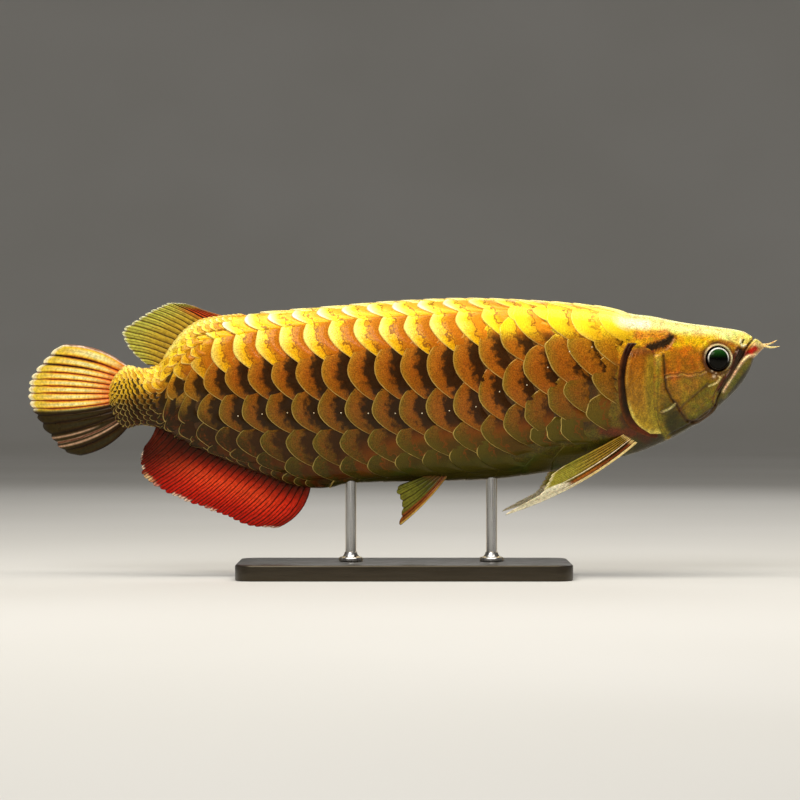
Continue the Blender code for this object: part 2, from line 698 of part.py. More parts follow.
def barbel(side_name, side, finish):
    """One of the two feelers on the chin, curving up a little to its tip."""
    x, y, z = BARBEL_ROOT
    root = Vector((x, y * side, z))
    tip_x, tip_y, tip_z = BARBEL_TIPS[side_name]
    tip = Vector((tip_x, tip_y * side, tip_z))
    steps = 8
    path = []
    for i in range(steps + 1):
        s = i / steps
        path.append(root.lerp(tip, s) + Vector((0, 0, -1.4)) * math.sin(math.pi * s))
    radii = [BARBEL_RADIUS * (1 - 0.6 * i / steps) for i in range(steps + 1)]
    made = tube("barbel_" + side_name, path, radii, finish, around=8)
    made.data.shade_smooth()
    return made


def make_base(finish):
    """A flat base with rounded corners and a narrow slope round its top."""
    corner, outline = BASE_CORNER_RADIUS, []
    for quarter, (sx, sy) in enumerate(((1, 1), (-1, 1), (-1, -1), (1, -1))):
        cx, cy = sx * (BASE_LENGTH / 2 - corner), sy * (BASE_WIDTH / 2 - corner)
        for k in range(7):
            a = math.pi / 2 * (quarter + k / 6)
            outline.append((cx + corner * math.cos(a), cy + corner * math.sin(a)))
    rings = []
    for z, inset in ((0.0, 0.0), (BASE_THICKNESS - BASE_EDGE, 0.0), (BASE_THICKNESS, BASE_EDGE)):
        share_x, share_y = 1 - 2 * inset / BASE_LENGTH, 1 - 2 * inset / BASE_WIDTH
        rings.append([(x * share_x, y * share_y, z) for x, y in outline])
    shade(mesh_object("stand_base", *rings_closed(rings), finish))


def make_rods(finish):
    """Two round rods that stand on the base and run up into the belly's place."""
    rods = []
    for place, x in ROD_PLACES.items():
        path = [(x, 0.0, BASE_THICKNESS + GAP / MM), (x, 0.0, through(BELLY_LINE, x) + ROD_SUNK)]
        rods.append(tube("stand_rod_" + place, path, [ROD_RADIUS] * 2, finish, around=20))
    return rods


def make_body(finish):
    """The trunk and tail with their raised scales, and the smooth stalk that carries the tail fin."""
    body = scaled_shell(finish)
    parts = {
        "trunk": (gill_cut(-HALF_GAP), upright_cut(VENT_CUT_X + HALF_GAP)),
        "tail": (upright_cut(VENT_CUT_X - HALF_GAP), upright_cut(STALK_CUT_X + HALF_GAP)),
    }
    for name, (front, rear) in parts.items():
        part = body.copy()
        part.data = body.data.copy()
        part.name = name
        bpy.context.scene.collection.objects.link(part)
        keep_inside(part, slab_between(name + "_block", front, rear, finish))
        shade(part, 20.0)
    bpy.data.objects.remove(body)
    stalk = stalk_shell(finish)
    front, rear = upright_cut(STALK_CUT_X - HALF_GAP), upright_cut(TAIL_ROOT_X - 20.0)
    keep_inside(stalk, slab_between("stalk_block", front, rear, finish))
    shade(stalk)


def clear_of_body(piece):
    """Cuts a root to the shape of the body that it meets, a little clear of it."""
    finish = piece.data.materials[0]
    for shell in (head_shell, scaled_shell, stalk_shell):
        combine(piece, [shell(finish, FIN_CLEARANCE)], "DIFFERENCE")
    shade(piece)


def clear_scene():
    for obj in list(bpy.data.objects):
        bpy.data.objects.remove(obj)


def main():
    clear_scene()
    gold = material("gold_skin", (0.72, 0.45, 0.08), 0.35, 0.4)
    bone = material("gold_bone", (0.78, 0.55, 0.16), 0.3, 0.4)
    red = material("red_fin", (0.55, 0.05, 0.02), 0.45)
    olive = material("olive_fin", (0.55, 0.5, 0.16), 0.45)
    amber = material("amber_fin", (0.75, 0.48, 0.14), 0.45)
    dark = material("eye", (0.03, 0.04, 0.03), 0.08)
    black = material("stand_base", (0.05, 0.05, 0.055), 0.4)
    steel = material("stand_rod", (0.6, 0.6, 0.62), 0.25, 1.0)

    make_head(gold)
    make_body(gold)
    fins = [
        fin_object("dorsal_fin", dorsal_ray, 16, 6, 0.14, 2.0, olive),
        fin_object("anal_fin", anal_ray, 22, 5, 0.12, 2.4, red),
        fin_object("tail_fin", tail_fin_ray, 15, 7, 0.09, 2.6, amber),
    ]
    for side_name, side in SIDES.items():
        fins.append(fin_object("pectoral_fin_" + side_name, pectoral_ray, 7, 10, 0.04, 3.0, olive, side))
        fins.append(fin_object("pelvic_fin_" + side_name, pelvic_ray, 6, 6, 0.1, 2.2, olive, side))
        fins.append(barbel(side_name, side, bone))
        gill_cover(side_name, side, bone)
        eye_ball("eye_" + side_name, side, dark)
    make_base(black)
    rods = make_rods(steel)
    for piece in fins + rods:
        clear_of_body(piece)


main()
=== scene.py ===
import functools
import math

import bmesh
import bpy
import mathutils
import numpy as np
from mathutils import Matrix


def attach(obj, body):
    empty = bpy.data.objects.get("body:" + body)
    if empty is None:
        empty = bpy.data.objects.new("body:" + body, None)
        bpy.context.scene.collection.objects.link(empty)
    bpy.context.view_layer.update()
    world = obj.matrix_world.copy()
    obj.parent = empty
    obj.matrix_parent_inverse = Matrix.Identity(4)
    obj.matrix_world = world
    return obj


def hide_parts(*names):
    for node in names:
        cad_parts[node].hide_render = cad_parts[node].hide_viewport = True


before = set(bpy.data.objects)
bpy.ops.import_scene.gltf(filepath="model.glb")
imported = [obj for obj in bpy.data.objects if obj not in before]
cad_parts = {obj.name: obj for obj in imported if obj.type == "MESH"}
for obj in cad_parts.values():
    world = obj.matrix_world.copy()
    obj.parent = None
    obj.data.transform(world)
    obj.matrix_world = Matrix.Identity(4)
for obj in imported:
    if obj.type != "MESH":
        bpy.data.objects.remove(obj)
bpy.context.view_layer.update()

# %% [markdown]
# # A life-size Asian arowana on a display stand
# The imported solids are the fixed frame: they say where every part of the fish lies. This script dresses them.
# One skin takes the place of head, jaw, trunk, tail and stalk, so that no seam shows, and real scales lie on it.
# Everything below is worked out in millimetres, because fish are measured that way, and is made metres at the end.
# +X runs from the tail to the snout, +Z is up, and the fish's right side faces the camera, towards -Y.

MM = 0.001

# %% [markdown]
# ## Smooth lines
# A boat builder draws a hull with a few stations and a bendy batten. The same is done here: a line through a few
# (place, value) pairs gives the back, the belly or a row of scales. Slopes are chosen so that it never overshoots.
# The functions take whole arrays at once, which makes tens of thousands of points quick to place.


# %% The batten
@functools.lru_cache(maxsize=None)
def smooth_line(points):
    """Places, values and slopes of a smooth line through (place, value) pairs."""
    places, values = np.array(sorted(points), float).T
    slopes = np.diff(values) / np.diff(places)
    before, after = slopes[:-1], slopes[1:]
    same_way = before * after > 0
    total = np.where(same_way, before + after, 1.0)
    inner = np.where(same_way, 2 * before * after / total, 0.0)
    return places, values, np.concatenate(([slopes[0]], inner, [slopes[-1]]))


def through(points, at):
    """The values at many places of the smooth line through (place, value) pairs."""
    places, values, slopes = smooth_line(points)
    at = np.asarray(at, float)
    i = np.clip(np.searchsorted(places, at, side="right") - 1, 0, len(places) - 2)
    span = places[i + 1] - places[i]
    t = np.clip((at - places[i]) / span, 0.0, 1.0)
    start = values[i] * (1 + 2 * t) * (1 - t) ** 2 + slopes[i] * span * t * (1 - t) ** 2
    return start + values[i + 1] * t * t * (3 - 2 * t) + slopes[i + 1] * span * t * t * (t - 1)


def pick(points, t):
    """The (x, z) at t of a smooth line through (t, x, z) points."""
    return through(tuple((p[0], p[1]) for p in points), t), through(tuple((p[0], p[2]) for p in points), t)


def ease(share):
    """0 below 0, 1 above 1, and a smooth step between."""
    share = np.clip(share, 0.0, 1.0)
    return share * share * (3 - 2 * share)


# %% [markdown]
# ## The body's form
# These stations are the solids' own. Each section is two half ovals that meet at the widest level.
# A place on the body is its x and an angle that starts at the back's midline and goes down the right side.

# %% Stations of the body
BACK_LINE = (
    (271.5, 174.4), (268.5, 177.4), (262.5, 181.0), (255.0, 185.2), (237.0, 188.3), (207.0, 192.0),
    (177.0, 197.3), (147.0, 202.9), (102.0, 207.0), (50.0, 209.0), (0.0, 207.2), (-63.0, 202.1),
    (-120.0, 197.3), (-150.0, 193.6), (-163.0, 186.5), (-176.0, 171.0), (-184.5, 158.6),
    (-196.0, 156.4), (-208.0, 158.6), (-215.0, 153.5), (-220.0, 145.5), (-222.5, 138.0),
)
BELLY_LINE = (
    (271.5, 173.4), (268.5, 170.2), (264.3, 166.0), (259.5, 154.5), (252.0, 143.3), (240.8, 132.0),
    (227.3, 120.0), (197.3, 102.8), (167.3, 91.5), (117.0, 81.0), (57.0, 73.9), (0.0, 72.6),
    (-40.0, 71.6), (-62.0, 67.0), (-78.0, 68.0), (-108.0, 78.0), (-138.0, 89.3), (-168.0, 103.9),
    (-187.0, 114.0), (-198.0, 115.5), (-209.0, 113.2), (-215.5, 118.5), (-220.0, 128.5), (-222.5, 136.0),
)
HALF_WIDTH = (
    (271.5, 0.8), (270.0, 3.6), (267.0, 5.9), (262.0, 8.4), (252.0, 11.6), (238.0, 14.8), (222.0, 17.6),
    (200.0, 20.6), (172.0, 22.8), (150.0, 25.2), (115.0, 26.6), (60.0, 26.4), (10.0, 25.0),
    (-40.0, 22.2), (-90.0, 18.0), (-130.0, 13.8), (-165.0, 9.9), (-188.0, 7.6), (-205.0, 5.8),
    (-216.0, 4.2), (-221.0, 2.6), (-222.5, 1.0),
)
WIDEST_SHARE = ((271.5, 0.5), (245.0, 0.6), (190.0, 0.6), (120.0, 0.56), (-60.0, 0.55), (-222.5, 0.5))
UPPER_ROUNDNESS = (
    (271.5, 2.0), (250.0, 2.6), (215.0, 3.0), (160.0, 2.7), (60.0, 2.4), (-100.0, 2.1), (-222.5, 2.0),
)
LOWER_ROUNDNESS = ((271.5, 2.0), (240.0, 2.1), (180.0, 1.9), (0.0, 1.85), (-100.0, 1.9), (-222.5, 2.0))
SNOUT_X, TAIL_ROOT_X = 271.5, -222.5
SIDES = {"right": -1, "left": 1}


def section(x):
    """Top, bottom, half width, widest level and the two roundnesses of the sections at x."""
    top, bottom = through(BACK_LINE, x), through(BELLY_LINE, x)
    level = bottom + through(WIDEST_SHARE, x) * (top - bottom)
    return top, bottom, through(HALF_WIDTH, x), level, through(UPPER_ROUNDNESS, x), through(LOWER_ROUNDNESS, x)


def surface(x, angle):
    """Points of the smooth body."""
    top, bottom, half, level, upper, lower = section(x)
    c, s = np.cos(angle), np.sin(angle)
    power = np.where(c > 0, 2 / upper, 2 / lower)
    height = np.where(c > 0, top - level, level - bottom)
    y = -half * np.sign(s) * np.abs(s) ** power
    z = level + height * np.sign(c) * np.abs(c) ** power
    return np.stack(np.broadcast_arrays(x, y, z), axis=-1)


def unit(vectors):
    return vectors / np.maximum(np.linalg.norm(vectors, axis=-1, keepdims=True), 1e-12)


def lifted(x, angle, lift):
    """Points of the body pushed out along its normals by a lift in millimetres."""
    x, angle = np.asarray(x, float), np.asarray(angle, float)
    along = surface(np.minimum(x + 0.4, SNOUT_X), angle) - surface(np.maximum(x - 0.4, TAIL_ROOT_X), angle)
    around = surface(x, angle + 0.01) - surface(x, angle - 0.01)
    return surface(x, angle) + unit(np.cross(around, along)) * np.asarray(lift, float)[..., None]


def side_angle(x, z):
    """The angle at which the right side reaches the height z."""
    top, bottom, _, level, upper, lower = section(x)
    high = np.clip((z - level) / (top - level), 0.0, 1.0)
    low = np.clip((level - z) / (level - bottom), 0.0, 1.0)
    above = np.arccos(high ** (upper / 2))
    return np.where(z > level, above, np.pi - np.arccos(low ** (lower / 2)))


def on_side(x, z, lift=0.0, side=-1):
    """Points of one side of the body at x and z, pushed out by a lift."""
    x, z, lift = np.broadcast_arrays(np.asarray(x, float), z, lift)
    points = lifted(x, side_angle(x, z), lift)
    points[..., 1] = side * np.abs(points[..., 1])
    return points


# %% [markdown]
# ## A tape measure round the body
# Scales keep their size wherever they lie, so they are set out with a tape and not with angles. A table of the
# girth at many stations turns a length along the tape, from the back's midline, into the body's angle and back.

# %% The girth table
STATIONS = np.linspace(TAIL_ROOT_X, SNOUT_X, 495)
TURN = np.linspace(0.0, np.pi, 721)
TAPE = np.linspace(0.0, 1.0, 257)
section_points = surface(STATIONS[:, None] + 0 * TURN, TURN + 0 * STATIONS[:, None])
steps = np.linalg.norm(np.diff(section_points, axis=1), axis=-1)
GIRTH = np.concatenate((np.zeros((len(STATIONS), 1)), np.cumsum(steps, axis=1)), axis=1)
HALF_GIRTH = GIRTH[:, -1]
TAPE_ANGLE = np.array([np.interp(TAPE * row[-1], row, TURN) for row in GIRTH])
print("girth of the fish at its middle", round(2 * float(np.interp(0.0, STATIONS, HALF_GIRTH))), "mm")


def from_table(table, x, column):
    """Reads a table between its rows, one for each station, and its columns, counted from 0."""
    row = np.clip((x - TAIL_ROOT_X) / (STATIONS[1] - STATIONS[0]), 0, len(STATIONS) - 1.001)
    column = np.clip(column, 0, table.shape[1] - 1.001)
    i, j = row.astype(int), column.astype(int)
    a, b = row - i, column - j
    low = table[i, j] * (1 - b) + table[i, j + 1] * b
    return low * (1 - a) + (table[i + 1, j] * (1 - b) + table[i + 1, j + 1] * b) * a


def half_girth(x):
    return np.interp(x, STATIONS, HALF_GIRTH)


def angle_at(x, tape):
    """The angle at a tape length from the back's midline. It is negative on the left side."""
    half = half_girth(x)
    length = np.abs(tape)
    past_keel = length > half
    share = np.where(past_keel, 2 * half - length, length) / half
    angle = from_table(TAPE_ANGLE, x, share * (len(TAPE) - 1))
    return np.sign(tape) * np.where(past_keel, 2 * np.pi - angle, angle)


def tape_at(x, angle):
    """The tape length at an angle of the right side."""
    return from_table(GIRTH, x, angle / np.pi * (len(TURN) - 1))


# %% [markdown]
# ## Bending a sheet into a piece
# A sheet of quads is the start of most pieces: Blender's grid operator makes it, a rule moves each of its points,
# and doubles are merged where its edges meet. The sheet's own u and v stay on the points, for the paint to use.


# %% From a flat sheet to a piece
def bent_sheet(name, columns, rows, place, weld=0.02):
    """A sheet whose points go where place(u, v) says, in millimetres, with u and v from 0 to 1."""
    bm = bmesh.new()
    bmesh.ops.create_grid(bm, x_segments=columns, y_segments=rows, size=0.5)
    flat = np.array([v.co[:2] for v in bm.verts]) + 0.5
    keep_u, keep_v = bm.verts.layers.float.new("u"), bm.verts.layers.float.new("v")
    for v, (u_share, v_share), point in zip(bm.verts, flat, place(flat[:, 0], flat[:, 1]) * MM):
        v.co = point
        v[keep_u], v[keep_v] = u_share, v_share
    bmesh.ops.remove_doubles(bm, verts=bm.verts, dist=weld * MM)
    bmesh.ops.recalc_face_normals(bm, faces=bm.faces)
    return to_object(name, bm)


def to_object(name, bm):
    mesh = bpy.data.meshes.new(name)
    bm.to_mesh(mesh)
    bm.free()
    mesh.shade_smooth()
    piece = bpy.data.objects.new(name, mesh)
    bpy.context.scene.collection.objects.link(piece)
    return piece


def values_of(piece, name):
    """A number kept on each point of a piece."""
    values = np.zeros(len(piece.data.vertices), np.float32)
    piece.data.attributes[name].data.foreach_get("value", values)
    return values.astype(float)


def places_of(piece):
    """The x, y and z of each point, in millimetres."""
    places = np.zeros(len(piece.data.vertices) * 3, np.float32)
    piece.data.vertices.foreach_get("co", places)
    return places.astype(float).reshape(-1, 3).T / MM


def keep_values(piece, name, values):
    attribute = piece.data.attributes.get(name) or piece.data.attributes.new(name, "FLOAT", "POINT")
    attribute.data.foreach_set("value", np.asarray(values, np.float32))


def tint(piece, colours):
    """Paints each point of a piece with its own colour."""
    layer = piece.data.color_attributes.new(name="Tint", type="FLOAT_COLOR", domain="POINT")
    full = np.concatenate((colours, np.ones((len(colours), 1))), axis=1)
    layer.data.foreach_set("color", full.astype(np.float32).ravel())


def dress(piece, finish, slot, *nodes):
    """Gives a piece its finish, its place in the frame and the solids that it stands for."""
    piece.data.materials.append(finish)
    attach(piece, "root")
    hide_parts(*nodes)
    print(piece.name, "has", len(piece.data.polygons), "faces")


# %% [markdown]
# ## Paint
# A model maker lays a base coat that runs from the dark belly to the bright back, then works with an airbrush.
# Each stroke below is a line on the side of the fish, a radius, a colour and a strength. Skin, scales and gill
# covers all read the same paint, so a marking runs on from one to the next. Not every stroke is a marking: some
# are painted shade or painted highlight, as the notes beside them say.


# %% The palette and the airbrush
def shades(*colours):
    """Display colours of 0 to 255 as the linear light that shaders reckon in."""
    share = np.array(colours, float) / 255
    return np.where(share <= 0.04045, share / 12.92, ((share + 0.055) / 1.055) ** 2.4)


def mix(a, b, share):
    return a + (b - a) * np.asarray(share)[..., None]


# The base coat's palest top is partly the back's own pale gold and partly painted highlight of the light from above.
BASE_COAT = (
    (0.0, 54, 50, 8), (0.12, 72, 66, 12), (0.26, 104, 86, 16), (0.42, 140, 100, 20),
    (0.6, 172, 108, 18), (0.74, 214, 150, 18), (0.88, 252, 214, 34), (1.0, 255, 244, 130),
)
STROKES = (
    # The crown is partly the head's pale gold and partly painted highlight of the light from above.
    ("crown", ((252, 183), (225, 187), (190, 192), (165, 197)), 6, (255, 250, 160), 0.9),
    ("snout", ((262, 180), (250, 180)), 4, (255, 240, 120), 0.8),
    ("temple", ((232, 177.0), (214, 176.5), (203, 176)), 5.0, (255, 196, 12), 0.95),
    ("above the blotch", ((174, 182), (186, 183), (196, 183)), 3.2, (214, 104, 14), 0.75),
    ("canal over the eye", ((228, 176.5), (240, 177), (249, 174), (251, 171)), 1.6, (160, 76, 14), 0.6),
    ("cheek", ((222, 165), (204, 164), (203, 152)), 7, (190, 108, 16), 0.8),
    ("cheek below", ((216, 146), (206, 140), (212, 135)), 7, (166, 122, 26), 0.85),
    ("lower cheek", ((229, 139), (219, 130), (212, 123)), 7, (134, 116, 24), 0.9),
    ("cheek foot", ((204, 121), (200, 114), (216, 114)), 6, (40, 42, 5), 0.9),
    # The jaw and its foot are painted near black: partly the jaw's dark olive, partly painted shade on the head's
    # underside.
    ("jaw", ((259, 153), (249, 138), (236, 122)), 6, (26, 28, 4), 0.95),
    ("jaw under the lip", ((258, 161.5), (251.5, 153.5), (246, 146), (240, 137)), 2.4, (124, 116, 36), 0.7),
    ("jaw foot", ((232, 121), (216, 110)), 4, (26, 24, 4), 0.9),
    ("chin", ((270, 173), (265, 173.5)), 4, (250, 222, 160), 0.9),
    ("chin's shade", ((266, 171), (263, 167.5)), 2.0, (206, 132, 50), 0.7),
    ("mouth lining", ((263.5, 172), (260.0, 169.6), (257.0, 167.6)), 2.0, (206, 18, 10), 0.97),
    ("mouth corner", ((257.5, 168.2), (255.5, 166.2)), 1.8, (130, 10, 10), 0.9),
    # Before and under the eye the paint is near black: partly dark skin, partly painted shadow beside the upper jaw.
    ("before the eye", ((251.5, 169.3), (249.5, 165), (246.2, 160)), 4.0, (26, 3, 9), 0.98),
    ("under the eye", ((246.5, 160), (242.6, 153), (239.4, 147.5), (236.4, 141)), 2.2, (44, 8, 10), 0.95),
    ("behind the blotch", ((170, 168), (176, 170), (184, 168)), 3.4, (104, 34, 10), 0.85),
    ("under the blotch", ((197, 172), (206, 171), (214, 172)), 2.0, (206, 100, 14), 0.6),
    # The white nape is partly pale gold and partly painted highlight, like the crown.
    ("white nape", ((164, 191), (181, 190)), 3.4, (255, 253, 220), 0.85),
    ("throat", ((178, 100), (200, 106)), 5, (34, 30, 5), 0.85),
    ("behind the cover", ((164, 120), (170, 112), (182, 104.5)), 3.6, (60, 18, 8), 0.9),
    ("fin pit", ((148, 111), (160, 109), (170, 109)), 3.6, (92, 26, 10), 0.9),
    ("shoulder", ((157, 160), (158, 140), (159, 126)), 2.6, (112, 84, 20), 0.8),
    # The two tail shadows are painted shade over the lower rear of the body.
    ("tail shadow", ((-226, 118), (-186, 118), (-150, 104)), 14, (12, 4, 1), 0.97),
    ("tail shadow below", ((-165, 106), (-120, 90), (-80, 74)), 9, (24, 14, 3), 0.85),
    ("tail gold", ((-222, 140), (-206, 146), (-190, 150), (-178, 158)), 8, (240, 192, 30), 0.88),
)


def to_line(x, z, line):
    """Each point's distance in millimetres to a line of (x, z) points in the side view."""
    nearest = np.full(np.shape(x), np.inf)
    for (ax, az), (bx, bz) in zip(line, line[1:]):
        dx, dz = bx - ax, bz - az
        t = np.clip(((x - ax) * dx + (z - az) * dz) / (dx * dx + dz * dz), 0, 1)
        nearest = np.minimum(nearest, np.hypot(x - ax - t * dx, z - az - t * dz))
    return nearest


def painted(x, z):
    """The paint at each x and z of the side view."""
    top, bottom = through(BACK_LINE, x), through(BELLY_LINE, x)
    share = np.clip((z - bottom) / (top - bottom), 0, 1)
    channels = [through(tuple((row[0], row[k]) for row in BASE_COAT), share) for k in (1, 2, 3)]
    coat = shades(np.stack(channels, axis=-1))[0]
    for _, line, radius, colour, strength in STROKES:
        near = ease(1.35 - 0.8 * to_line(x, z, line) / radius)
        coat = mix(coat, shades(colour)[0], near * strength)
    return coat


# %% [markdown]
# ## Finishes
# Wet skin and scales shine under a clear coat, and their colour wanders at more than one size. A small helper
# adds shader nodes and wires them, so that each finish below reads as a short recipe.


# %% A helper for recipes
class Recipe:
    """A material with its shader, and short ways to add nodes to it."""

    def __init__(self, name, **settings):
        self.material = bpy.data.materials.new(name)
        self.material.use_nodes = True
        self.tree = self.material.node_tree
        self.shader = self.tree.nodes["Principled BSDF"]
        self.shader.inputs["Specular Tint"].default_value = plain(255, 224, 160)
        for socket, value in settings.items():
            self.shader.inputs[socket.replace("_", " ")].default_value = value

    def node(self, kind, inputs=(), **settings):
        """Adds a node. Its inputs are (socket, value or output) pairs."""
        made = self.tree.nodes.new("ShaderNode" + kind)
        for key, value in settings.items():
            setattr(made, key, value)
        for socket, value in inputs:
            if isinstance(value, bpy.types.NodeSocket):
                self.tree.links.new(value, made.inputs[socket])
            else:
                made.inputs[socket].default_value = value
        return made

    def value(self, name):
        return self.node("Attribute", attribute_name=name).outputs["Fac"]

    def paint(self):
        return self.node("Attribute", attribute_name="Tint").outputs["Color"]

    def noise(self, scale, detail=4.0, stretch=(1.0, 1.0, 1.0)):
        """Noise on the object's own coordinates, with scale in features a metre."""
        coordinates = self.node("TexCoord").outputs["Object"]
        mapping = self.node("Mapping", [("Vector", coordinates), ("Scale", stretch)])
        inputs = [("Vector", mapping.outputs[0]), ("Scale", scale), ("Detail", detail)]
        return self.node("TexNoise", inputs).outputs["Fac"]

    def spread(self, source, low, high, to_low=0.0, to_high=1.0):
        """Spreads low to high over to_low to to_high, with a smooth step."""
        inputs = [("Value", source), ("From Min", low), ("From Max", high)]
        inputs += [("To Min", to_low), ("To Max", to_high)]
        return self.node("MapRange", inputs, interpolation_type="SMOOTHSTEP").outputs[0]

    def maths(self, operation, a, b=0.0):
        return self.node("Math", [(0, a), (1, b)], operation=operation).outputs[0]

    def blend(self, factor, a, b, blend_type="MIX"):
        """Colours a and b mixed by a factor."""
        made = self.node("Mix", data_type="RGBA", blend_type=blend_type)
        for index, value in ((0, factor), (6, a), (7, b)):
            if isinstance(value, bpy.types.NodeSocket):
                self.tree.links.new(value, made.inputs[index])
            else:
                made.inputs[index].default_value = value
        return made.outputs[2]

    def bump(self, height, distance, strength=1.0, after=None):
        inputs = [("Height", height), ("Distance", distance), ("Strength", strength)]
        if after:
            inputs.append(("Normal", after))
        return self.node("Bump", inputs).outputs[0]

    def finish(self, colour=None, roughness=None, normal=None):
        for socket, source in (("Base Color", colour), ("Roughness", roughness), ("Normal", normal)):
            if source:
                self.tree.links.new(source, self.shader.inputs[socket])
        return self.material


def plain(*colour):
    """One display colour as a socket's value."""
    return (*shades(colour)[0], 1.0)


# %% [markdown]
# ## The skin
# On the real fish one skin runs from the lips to the tail. A sheet bent round all the sections gives that, with
# its seam under the keel, and with rings close together on the head, where the relief is fine.
# The head's relief is a height at each point: grooves along lines, ridges beside them and a socket for the eye.

# %% The head's lines, in the side view
MOUTH = (
    (264.5, 181.5), (262.0, 178.8), (258.7, 175.3), (256.0, 171.4), (254.2, 166.8), (251.6, 162.4),
    (248.6, 157.4), (245.3, 151.8), (241.8, 146.2), (238.2, 141.2), (235.4, 135.5), (233.6, 129.5),
)
LOWER_LIP = (
    (265.5, 168.2), (262.0, 167.0), (258.6, 166.6), (255.9, 164.6), (252.8, 161.2), (249.7, 156.6), (246.8, 152.2),
    (243.4, 146.8), (240.6, 142.6), (239.4, 140.2),
)
MAXILLA_EDGE = ((250.0, 171.5), (246.0, 163.0), (241.5, 153.0), (236.8, 145.0), (232.5, 138.5), (231.4, 131.5))
CHEEK_CREASE = (
    (195.6, 150.7), (199.0, 151.9), (203.3, 151.8), (207.6, 153.0), (211.4, 151.9), (214.8, 152.0), (218.6, 153.2),
    (221.4, 152.8), (225.4, 155.0),
)
PREOPERCLE_GROOVE = (
    (193.6, 167.0), (194.4, 158.0), (194.8, 150.0), (195.8, 142.6), (199.8, 134.7), (204.2, 129.5), (208.5, 122.6),
    (211.9, 118.3), (217.1, 116.9), (222.3, 118.3), (227.3, 121.6), (231.2, 125.4), (233.4, 130.0),
)
PREOPERCLE_RIDGE = (
    (189.4, 165.0), (190.0, 158.0), (189.9, 150.0), (189.6, 141.0), (189.2, 127.5), (190.6, 119.5),
    (193.4, 112.5), (198.0, 106.0),
)
RIDGE_CREASE = ((192.6, 124.6), (195.6, 125.8), (198.1, 126.9), (200.6, 128.6), (202.6, 130.8))
CHEEK_SEAM = ((227.4, 145.1), (217.1, 136.4), (210.2, 130.4), (206.5, 126.0))
SUBORBITAL_SEAM = ((233.5, 137.5), (226.0, 132.0), (219.0, 124.5))
TEMPLE_BLOTCH = ((183.0, 172.2), (188.0, 174.0), (192.6, 175.2), (196.6, 177.2), (199.4, 179.8))
BLOTCH_EDGE = ((195.6, 171.0), (198.6, 173.6), (200.6, 176.6), (201.8, 179.4))
GULAR_SEAM = ((232.0, 127.5), (222.0, 120.5), (210.0, 113.0), (198.0, 107.0))
EYE_FOLD = ((228.0, 143.9), (231.4, 145.1), (233.9, 146.8), (236.1, 148.9), (237.0, 150.4), (235.0, 151.6))
SKULL_EDGE = ((100.0, 166.0), (150.0, 168.0), (176.0, 175.5), (181.0, 178.0), (190.0, 177.0), (197.0, 178.0), (210.0, 184.0))
EYE_X, EYE_Z = 234.0, 165.2
EYE_SUNK = 2.5
SIGHT_X, SIGHT_Z = 235.2, 164.4
NOSTRIL_SLIT = ((255.0, 178.6), (253.8, 176.6))
NOSTRIL_FLAP = ((252.6, 178.4), (252.2, 176.6), (253.6, 173.8), (256.2, 174.6))
FRONT_NOSTRIL = (260.2, 179.4)


def eye_frame():
    """The centre of the right eye and the way that it looks."""
    spot = on_side(SIGHT_X, SIGHT_Z)
    out = unit(on_side(EYE_X, EYE_Z, 1.0) - on_side(EYE_X, EYE_Z))
    return spot - out * EYE_SUNK, out


def from_eye(points):
    """Each point's distance from the line of sight of the eye on its own side, and its place round that line."""
    centre, out = eye_frame()
    right = np.stack((points[..., 0], -np.abs(points[..., 1]), points[..., 2]), axis=-1) - centre
    radial = right - (right @ out)[..., None] * out
    return np.linalg.norm(radial, axis=-1), np.arctan2(radial[..., 2], radial[..., 0])


def wave(distance, width):
    return np.exp(-((distance / width) ** 2))


def head_relief(points):
    """How far the skin stands out from or sinks into the smooth head, in millimetres."""
    x, z = points[..., 0], points[..., 2]
    height = -1.9 * wave(to_line(x, z, MOUTH), 0.8)
    height += 1.1 * wave(to_line(x, z, LOWER_LIP), 1.0)
    height += 0.8 * wave(to_line(x, z, MAXILLA_EDGE) - 1.2, 1.3) - 0.5 * wave(to_line(x, z, MAXILLA_EDGE), 0.7)
    for line, depth, width in (
        (CHEEK_CREASE, 0.8, 0.7), (PREOPERCLE_GROOVE, 1.0, 0.85), (CHEEK_SEAM, 0.45, 0.9),
        (SUBORBITAL_SEAM, 0.4, 0.8), (GULAR_SEAM, 0.5, 0.8), (RIDGE_CREASE, 0.9, 0.7),
        (EYE_FOLD, 0.5, 0.7),
    ):
        near = to_line(x, z, line)
        height += depth * (0.6 * wave(near - 1.9 * width, 1.1 * width) - wave(near, width))
    ridge = to_line(x, z, PREOPERCLE_RIDGE)
    height += 1.1 * wave(np.maximum(ridge - 1.2, 0), 0.9) - 0.3 * wave(ridge, 0.8)
    height += 0.9 * wave(np.hypot(x - 189.4, (z - 163.0) * 0.8), 3.2)
    height += 0.6 * wave(to_line(x, z, NOSTRIL_FLAP), 0.8) - 1.6 * wave(to_line(x, z, NOSTRIL_SLIT), 0.6)
    pit = np.hypot(x - FRONT_NOSTRIL[0], z - FRONT_NOSTRIL[1])
    height += 0.3 * wave(pit - 1.0, 0.5) - 0.8 * wave(pit, 0.6)
    skull = ease((z - through(SKULL_EDGE, x)) / 1.6) * ease((x - 172.0) / 16.0) * (1 - ease((x - 182.0) / 40.0))
    height += 1.0 * skull
    from_sight, turn = from_eye(points)
    above = 0.5 + 0.5 * np.sin(turn + 0.35)
    height += 1.0 * above * wave(from_sight - 10.3, 0.55) - 0.5 * wave(from_sight - 12.0, 0.7)
    height += 0.45 * wave(from_sight - 14.6, 1.2)
    socket = 1 - ease((from_sight - 8.9) / 1.1)
    return height * (1 - socket) - 5.0 * socket


